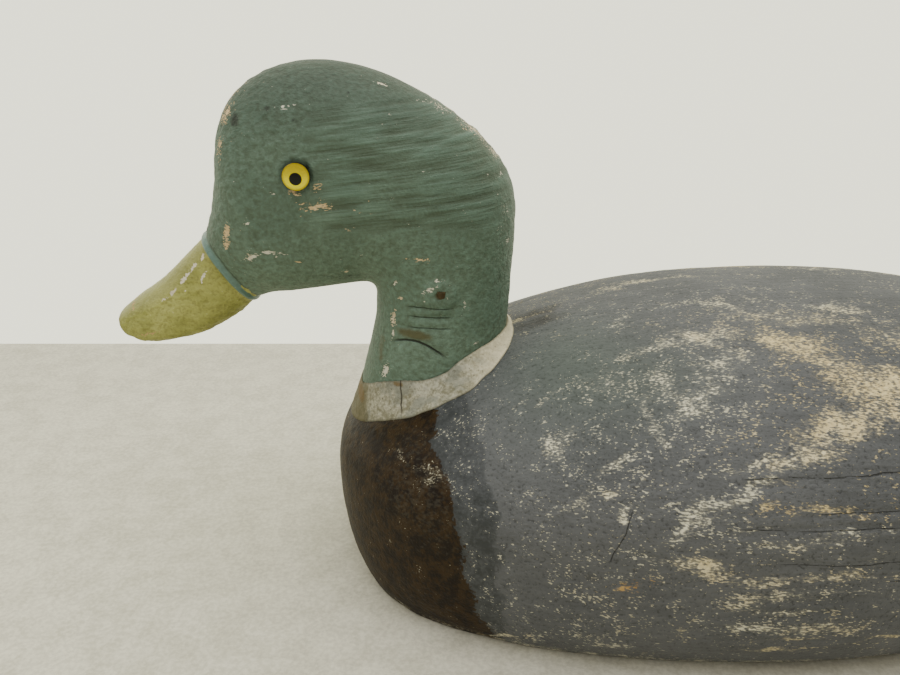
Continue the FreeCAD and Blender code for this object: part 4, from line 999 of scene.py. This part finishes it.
billWear = [  # x, height
    (-165, 109.5, 1, 0.5, 0, 0.9, 0.2), (-166, 106, 2.4, 0.8, 60, 0.98, 0.2),
    (-169, 103, 2.4, 0.7, 55, 1, 0.2), (-172, 99.5, 3, 0.9, 50, 1, 0.2),
    (-175.5, 95.5, 3, 0.7, 45, 0.95, 0.3), (-178.5, 93, 1.6, 0.6, 20, 0.9, 0.2),
    (-165.5, 100.8, 2, 0.6, 55, 1, 0.1), (-166.3, 98.8, 1.2, 0.5, 60, 0.95, 0.1),
    (-190, 90, 1.5, 2.5, 0, 0.7, 1), (-184, 82.5, 5, 0.8, 10, 0.74, 1), (-172, 96, 1, 0.3, 0, 0.8, 0.1),
]


def billStations():
    table = np.array(bill["stations"]) / 100
    inner = rootMiddle + table[:, 0:2] * bill["length"]
    outer = rootMiddle + table[:, 2:4] * bill["length"]
    return np.column_stack([inner, outer, table[:, 4] * bill["width"] / 2, table[:, 5]])


billRows = billStations()
billLengths = fanLengths(billRows)


def billGrid():
    # wrinkles run across the under side and the flanks, the top strip is smoother and a step divides them
    angle = fullTurn(bill["around"])[None, :]
    shape = (bill["rows"], bill["around"])
    at = np.broadcast_to(easedSpread(0, billLengths[-1] * 0.998, bill["rows"])[:, None], shape)
    angle = np.broadcast_to(angle, shape)
    grid = fanPoints(billRows, billLengths, at, angle, bill["power"])
    x, y, z = np.moveaxis(grid, -1, 0)
    topStrip = smooth(np.sin(angle), 0.55, 0.8)
    wrinkles = 0.20 * roughness(grid, (2.3, 3.2, 1.6), 121, 2) * (1 - 0.75 * topStrip)
    slow = 0.14 * roughness(grid, (10, 8, 8), 127)
    step = 0.22 * smooth(np.sin(angle), 0.5, 0.62)
    tipFade = smooth(billLengths[-1] - at, 0, 6)
    worn = -0.12 * smooth(marksOn(billWear, x, z)[0] + 0.3 * roughness(grid, 1.8, 131), 0.7, 0.95)
    height = (wrinkles + slow + step + worn) * tipFade - bill["inset"]
    centre = grid.mean(axis=1, keepdims=True)
    wear, hue = marksOn(billWear, x + np.where(y > 0, 2.5, 0), z)
    masks = {"wear": wear, "hue": hue, "strip": topStrip, "tip": 1 - smooth(billLengths[-1] - at, 2, 9)}
    return pushedOut(grid, centre, height), masks


def billFinish():
    # olive in two shades by noise, darker along the top strip and in the hollows
    constants = {"IOR": 1.48, "Specular IOR Level": 0.32}
    paint = Finish("bill_paint", constants, (0.8, 41), (3.0, 42))
    fine, mid, strip = paint.fine, paint.mid, paint.mask("strip")
    wrinkle = paint.noise((1.7, 2.4, 1.1), 44, 3)
    slowCloud = paint.step(paint.noise(12, 43, 2), 0.35, 0.65)
    paint.colour = paint.mix(slowCloud, (0.255, 0.262, 0.060), (0.330, 0.334, 0.090))
    paint.cover(strip * 0.35, (0.215, 0.210, 0.085))
    hollow = paint.step(paint.rough(wrinkle, 0, 0.7), 0.56, 0.30)
    paint.cover(hollow * (1 - strip * 0.7) * 0.36, (0.125, 0.108, 0.022))
    paint.colour = paint.tint(paint.colour, 0.66 + mid * 0.36 + fine * 0.36)
    bare = paint.step(paint.rough("wear", 0.7, 1.9), 0.60, 0.76)
    primer = paint.mix(fine, (0.55, 0.52, 0.38), (0.80, 0.77, 0.62))
    shows = bare.largest(paint.step(fine * 0.5 + mid * 0.5, 0.66, 0.70) * 0.5)
    paint.cover(shows, paint.mix(paint.mask("hue"), primer, (0.46, 0.30, 0.12)))
    paint.cover(paint.step(paint.rough("tip", 0.8), 0.8, 1.2) * 0.45, (0.17, 0.11, 0.03))
    paint.put(paint.colour, roughness=0.50 + fine * 0.16 + shows * 0.2 - strip * 0.08)
    return paint.relief((wrinkle, 0.34), (fine, 0.2), (mid, 0.12), (1 - shows, 0.08))


billPoints, billMasks = billGrid()
makePiece("bill_carved", billPoints, billMasks, ["bill"], billFinish())

# neck filler: a band of putty smoothed between the neck and the body

collar = {
    "around": 420,
    "profile": 30,  # points down its outer face
    "endMargin": 1.0,
    "backMargin": 2.4,
    "sideMargins": [(-1, 2.0), (-0.6, 3.0), (-0.2, 6.5), (0.3, 9.6), (1, 9.6)],  # from its front to its back
    "hollow": 0.42,  # how far the fillet sags towards the corner
    "crack": (-105.0, 66, 0.05),  # x at this height, and its lean
    "upperEdge": [  # x, height
        (-125, 60.5), (-118, 64), (-113, 68), (-105, 70.2), (-100, 70.6), (-96, 72), (-91, 74), (-87, 77),
        (-84, 79), (-80, 81), (-75, 82.5), (-68, 84),
    ],
}


def bodySurfaceAt(x, y):  # height of the body over a point: widest + rise * (1 - |y / w|^n)^(1/n)
    half, widest, top = (np.interp(x, fineX, fineSections[i][:, 0]) for i in (1, 2, 3))
    share = 1 - np.clip(np.abs(y) / half, 0, 1) ** body["upperPower"]
    return widest + (top - widest) * share ** (1 / body["upperPower"])


def neckEdge(angle):  # on each line down the neck, the place where it crosses the wanted upper edge
    down = np.linspace(headLengths[-1] - 32, headLengths[-1], 240)
    shape = (len(angle), len(down))
    at, turned = np.broadcast_to(down[None], shape), np.broadcast_to(angle[:, None], shape)
    lines = fanPoints(headRows, headLengths, at, turned, head["power"])
    wanted = np.interp(lines[..., 0], *zip(*collar["upperEdge"])) + 0.5 * roughness(lines, (6, 6, 6), 141)
    crossing = np.argmin(np.abs(lines[..., 2] - wanted), axis=1)
    rows = np.arange(len(angle))
    return lines[rows, crossing], lines[rows, -1]


def collarGrid():
    # outer face: a curve with three handles from the neck, through a point drawn to the corner, to the body;
    # it returns underneath, just inside both
    angle = fullTurn(collar["around"])
    upper, foot = neckEdge(angle)
    seatMiddle = (seatFront + seatBack) / 2
    seatAlong = (seatBack - seatFront) / np.linalg.norm(seatBack - seatFront)
    halfLength = np.linalg.norm(seatBack - seatFront) / 2
    up, out = (signedPower(f(angle), 2 / head["power"]) for f in (np.sin, np.cos))
    margin = np.where(up < 0, collar["endMargin"], collar["backMargin"])
    lower = seatMiddle + seatAlong * (up * (halfLength + margin))[:, None]
    lower[:, 1] = out * (head["neckWidth"] / 2 + np.interp(up, *zip(*collar["sideMargins"])))
    lower = lower + (lower - foot) * 0.09 * roughness(lower, (6, 6, 6), 149)[:, None]
    lower[:, 2] = bodySurfaceAt(lower[:, 0], lower[:, 1]) - 0.1
    corner = foot.copy()
    corner[:, 2] = bodySurfaceAt(foot[:, 0], foot[:, 1])
    handle = corner * collar["hollow"] + (upper + lower) / 2 * (1 - collar["hollow"])
    t = np.linspace(0, 1, collar["profile"])[None, :, None]
    face = (1 - t) ** 2 * upper[:, None] + 2 * t * (1 - t) * handle[:, None] + t**2 * lower[:, None]
    inwards = (seatMiddle - foot) * [1, 1, 0]
    inwards = inwards / np.linalg.norm(inwards, axis=1, keepdims=True)
    under = lower + inwards * 0.6 - [0, 0, 1.6]
    inside = foot + inwards * 1.4
    inside[:, 2] = np.minimum(corner[:, 2] - 2.6, under[:, 2])
    top = upper + inwards * 1.4 - [0, 0, 1.0]
    back = np.stack([under, inside, (inside + top) / 2, top], axis=1)
    grid = np.concatenate([face, back], axis=1)
    # raised above the paint by its own thickness, with pits and one upright crack
    shape = np.sin(np.pi * np.linspace(0, 1, collar["profile"]))[None, :] ** 0.5
    height = (0.35 + 0.22 * roughness(face, (3.2, 3.2, 2.4), 151, 2)) * shape
    crackAt, crackHeight, lean = collar["crack"]
    fromCrack = face[..., 0] - crackAt + lean * (face[..., 2] - crackHeight)
    crack = np.exp(-((fromCrack / 0.6) ** 2)) * (face[..., 1] < 0)
    height = height - 0.4 * crack * shape
    away = -inwards[:, None] * 0.6 + np.array([0, 0, 0.55])
    grid[:, :collar["profile"]] += away * height[..., None]
    width = np.linalg.norm(lower - upper, axis=1)[:, None]
    place = np.concatenate([np.linspace(0, 1, collar["profile"]), [1, 1, 0.5, 0]])
    x, y, z = np.moveaxis(grid, -1, 0)
    stains = np.maximum(blob(x, z, (-119, 61), (2.0, 2.6)), blob(x, z, (-106, 69), (2.2, 0.9)))
    return grid, {
        "edge": smooth(np.minimum(place, 1 - place)[None, :] * width, 1.3, 0.1),
        "rust": stains * (y < 0),
        "soiled": smooth(x, -112.5, -119.0),
        "yellow": smooth(x, -88, -74),
    }


def collarFinish():
    # dirty off-white, greyer towards its edges, freckled dark, with rust-brown stains
    paint = Finish("filler_paint", {"IOR": 1.48, "Specular IOR Level": 0.3}, (0.8, 51), (3.2, 52))
    fine, mid, yellow = paint.fine, paint.mid, paint.mask("yellow")
    cream = paint.step(paint.rough(mid, 0, 0.7), 0.3, 0.7)
    paint.colour = paint.mix(cream, (0.185, 0.175, 0.110), (0.400, 0.385, 0.285))
    paint.cover(yellow * (0.4 + mid * 0.7), (0.66, 0.60, 0.40))
    grey = paint.step(paint.rough(paint.noise(6, 53, 2), 0.4), 0.50, 0.66)
    paint.cover(grey * (1 - yellow * 0.8) * 0.65, (0.165, 0.175, 0.140))
    paint.cover(paint.step(paint.noise(0.9, 54, 2), 0.36, 0.29) * 0.6, (0.05, 0.042, 0.022))
    paint.cover(paint.step(paint.rough("edge", 0.9), 0.55, 1.1) * 0.6, (0.080, 0.078, 0.050))
    paint.cover(paint.step(paint.rough("soiled", 1.2), 0.4, 0.9) * 0.85, (0.085, 0.072, 0.024))
    paint.cover(paint.step(paint.rough("rust", 0, 0.9), 0.35, 0.8) * 0.7, (0.13, 0.075, 0.014))
    crackAt, crackHeight, lean = collar["crack"]
    gap = paint.rough(paint.x - crackAt + (paint.z - crackHeight) * lean, 1.2)
    crack = paint.step(gap.size(), 0.28, 0.1) * paint.step(paint.y, 2, -2) * paint.step(paint.z, 60, 63)
    paint.cover(crack * 0.8, (0.03, 0.022, 0.012))
    paint.put(paint.tint(paint.colour, 0.8 + fine * 0.4), roughness=0.55 + fine * 0.2)
    return paint.relief((mid, 0.35), (fine, 0.25), (1 - crack, 0.4))


collarPoints, collarMasks = collarGrid()
covers, collarPaint = ["neck_filler"], collarFinish()
makePiece("neck_filler_smoothed", collarPoints, collarMasks, covers, collarPaint, ring=True)

# eyes: a glass button on each cheek

eye = {
    "rings": 46,
    "around": 96,
    "sunk": 2.0,  # part of the glass below its seat
    "pupil": 1.75,
    "pupilDrop": 0.5,
}
enamel = {"IOR": 1.45, "Specular IOR Level": 0.18, "Roughness": 0.1, "Coat Roughness": 0.03}
enamel["Coat Weight"] = 0.2


def eyeGrid(word, side):
    # a dome h = rise * sqrt(1 - r^2), then its edge down into the socket
    low, high = boxOf(f"eye_glass_{word}")
    middle = (low + high) / 2
    crown = high[1] if side > 0 else low[1]
    turn = fullTurn(eye["around"])[None, :]
    share = np.sin(np.linspace(0.02, 1, eye["rings"]) * math.pi / 2)
    radius = np.concatenate([share, [1.0, 1.0, 0.98]])[:, None] * eyeRadius
    rise = (high[1] - low[1]) - eye["sunk"]
    drop = rise * (1 - np.sqrt(1 - (share * 0.94) ** 2))
    drop = np.concatenate([drop, [rise + 0.4, rise + 0.9, rise + 1.6]])[:, None]
    x = middle[0] + radius * np.cos(turn)
    z = middle[2] + radius * np.sin(turn)
    y = crown - side * np.broadcast_to(drop, x.shape)
    fromPupil = np.hypot(x - middle[0], z - middle[2] + eye["pupilDrop"])
    masks = {"fromMiddle": radius, "fromPupil": fromPupil, "upwards": (z - middle[2]) / eyeRadius}
    return np.stack([x, y, z], axis=-1), masks


def eyeFinish():
    # black pupil, yellow iris that is darker amber above as painted shade and glows below as painted light,
    # where the glass would gather it; a dark line round the glass
    paint = Finish("eye_enamel", enamel)
    middle, pupil, up = paint.mask("fromMiddle"), paint.mask("fromPupil"), paint.mask("upwards")
    cloud = paint.noise(0.7, 61, 2)
    # painted shade: the iris turns darker amber towards its top
    paintedTopShade = paint.step(up + (cloud - 0.5) * 0.4, -0.5, 0.9)
    paint.colour = paint.mix(paintedTopShade, (0.74, 0.64, 0.0), (0.40, 0.31, 0.0))
    # painted light: a bright glow in the lower part of the iris, where the glass dome would gather the light
    paintedLowerGlow = paint.step(middle, 1.6, 2.5) * paint.step(middle, 3.5, 2.9) * paint.step(up, 0.3, -0.6)
    paint.cover(paintedLowerGlow * 0.6, (0.92, 0.84, 0.0))
    paint.cover(paint.step(middle, 3.15, 3.7) * 0.55, (0.24, 0.18, 0.0))
    paint.cover(paint.step(pupil, eye["pupil"] + 0.08, eye["pupil"] - 0.08), (0.003, 0.003, 0.003))
    paint.cover(paint.step(middle, eyeRadius - 0.16, eyeRadius - 0.04), (0.012, 0.010, 0.004))
    paint.put(paint.colour)
    return paint.relief((cloud, 0.02))


eyeEnamel = eyeFinish()
for word, side in (("left", -1), ("right", 1)):
    eyePoints, eyeMasks = eyeGrid(word, side)
    covers = [f"eye_{part}_{word}" for part in ("glass", "iris", "pupil")]
    makePiece(f"eye_button_{word}", eyePoints, eyeMasks, covers, eyeEnamel)

# finishes of the remaining hardware


def dress(finish, *nodes):
    for node in nodes:
        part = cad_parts[node]
        for slot in part.material_slots:
            slot.link = "OBJECT"
            slot.material = finish


def dowelFinish():
    # pale birch, grain drawn out along the pin
    paint = Finish("dowel_birch", {"Roughness": 0.6})
    grain = paint.noise((0.7, 0.7, 14), 71, 4)
    paint.put(paint.mix(grain, (0.42, 0.29, 0.15), (0.68, 0.52, 0.32)))
    return paint.relief((grain, 0.1))


def metalFinish(name, dark, bright, seed, rough, metallic, specked):
    # bright metal dulled in clouds, with specks of its tarnish
    paint = Finish(name, {})
    cloud, grain = paint.noise(2.6, seed, 4), paint.noise(0.5, seed + 1)
    tarnish = paint.step(grain + (cloud - 0.5) * 0.6, 0.56, 0.66)
    clean = paint.mix(paint.step(cloud, 0.35, 0.65), dark, bright)
    colour = paint.mix(tarnish * specked, clean, tuple(c * 0.4 for c in dark))
    dull = rough + grain * 0.2 + tarnish * 0.1
    paint.put(colour, roughness=dull, metallic=(1 - tarnish * specked) * metallic)
    return paint.relief((cloud, 0.1), (grain, 0.06))


def puttyFinish():
    # painted over in the grey of the body, with a rust spot coming through
    paint = Finish("nail_putty_paint", {"Roughness": 0.7})
    cloud, grain = paint.noise(1.6, 81), paint.noise(0.5, 82)
    rust = paint.step(cloud, 0.50, 0.66)
    colour = paint.mix(grain, (0.10, 0.10, 0.09), (0.17, 0.165, 0.15))
    paint.put(paint.mix(rust * 0.7, colour, (0.13, 0.06, 0.02)))
    return paint.relief((grain, 0.1))


dress(dowelFinish(), "neck_dowel", "bill_dowel", "seam_pins")
metals = [  # nodes, name, dark, bright, seed, roughness, metallic, tarnish
    ("neck_nails seam_nails", "nail_rust", (0.05, 0.034, 0.01), (0.085, 0.055, 0.016), 73, 0.55, 0.3, 0.7),
    ("eye_wire_left eye_wire_right", "wire_iron", (0.20, 0.19, 0.18), (0.42, 0.41, 0.40), 75, 0.35, 0.9, 0.4),
    ("ballast_weight", "lead_dull", (0.16, 0.165, 0.17), (0.30, 0.305, 0.31), 77, 0.45, 0.7, 0.5),
    ("ballast_screws line_staple", "brass_old", (0.38, 0.26, 0.09), (0.62, 0.47, 0.20), 79, 0.28, 0.95, 0.5),
    ("line_ring", "brass_ring", (0.42, 0.30, 0.11), (0.68, 0.52, 0.23), 85, 0.24, 0.95, 0.4),
]
for nodes, *metal in metals:
    dress(metalFinish(*metal), *nodes.split())
dress(puttyFinish(), "nail_putty")
print("hardware finished")

# light, floor, camera


def addLight(name, place, target, size, power, colour):
    data = bpy.data.lights.new(name, "AREA")
    data.shape = "DISK"
    data.size = size
    data.energy = power
    data.color = colour
    lamp = bpy.data.objects.new(name, data)
    lamp.location = place
    aim = Vector(np.array(target) - np.array(place))
    lamp.rotation_euler = aim.to_track_quat("-Z", "Y").to_euler()
    bpy.context.scene.collection.objects.link(lamp)


room = {
    "wall": (1.0, 0.985, 0.78),
    "wallStrength": 2.0,
    "front": (0.62, 0.60, 0.56),
    "frontStrength": 1.02,
    "cameraDown": 21.159,  # degrees below level
    "floorHalf": 1.6,
    "floorEdge": 0.187,
    "floorDrop": -0.0002,  # clear of the nail fillings in the sole
}
world = bpy.data.worlds.new("room")
bpy.context.scene.world = world
world.use_nodes = True
roomLight = Graph(world.node_tree)
background = world.node_tree.nodes["Background"]
heading = roomLight.node("ShaderNodeTexCoord", {}, {}, output=0)
towardsWall = roomLight.node("ShaderNodeSeparateXYZ", {}, {0: heading}, output=1)
lit = roomLight.mix(
    roomLight.step(towardsWall, -0.1, 0.6),
    tuple(c * room["frontStrength"] for c in room["front"]),
    tuple(c * room["wallStrength"] for c in room["wall"]),
)
world.node_tree.links.new(lit.socket, background.inputs["Color"])
background.inputs["Strength"].default_value = 1.0
addLight("ceiling", (0.05, -0.12, 1.05), (0.0, 0.0, 0.03), 1.1, 8.0, (1.0, 0.985, 0.95))
addLight("window", (-0.75, -0.45, 0.75), (-0.05, 0.0, 0.08), 0.7, 2.6, (1.0, 0.99, 0.96))

half, edge = room["floorHalf"], room["floorEdge"]
floorMesh = bpy.data.meshes.new("floor")
corners = [(-half, -half), (half, -half), (half, edge), (-half, edge)]
floorMesh.from_pydata([(x, y, room["floorDrop"]) for x, y in corners], [], [(0, 1, 2, 3)])
floor = bpy.data.objects.new("floor", floorMesh)
bpy.context.scene.collection.objects.link(floor)
table = Finish("table_top", {"Roughness": 0.7, "Specular IOR Level": 0.3})
tableCloud, tableGrit = table.noise((60, 9, 20), 21, 4), table.noise(1.6, 22, 4, 0.7)
tableBlotch = table.step(table.noise(9, 23, 4), 0.36, 0.62)
tableShade = tableCloud * 0.3 + tableBlotch * 0.25 + table.step(tableGrit, 0.34, 0.66) * 0.45
table.put(table.mix(tableShade, (0.44, 0.42, 0.325), (0.72, 0.695, 0.57)))
floorMesh.materials.append(table.relief((tableGrit, 0.15)))

cameraData = bpy.data.cameras.new("camera")
cameraData.sensor_width = 36.0
cameraData.lens = 32.0
cameraData.clip_start = 0.01
camera = bpy.data.objects.new("camera", cameraData)
camera.location = (-0.090, -0.2468, 0.17155)
camera.rotation_euler = (math.radians(90 - room["cameraDown"]), 0, 0)
bpy.context.scene.collection.objects.link(camera)
bpy.context.scene.camera = camera
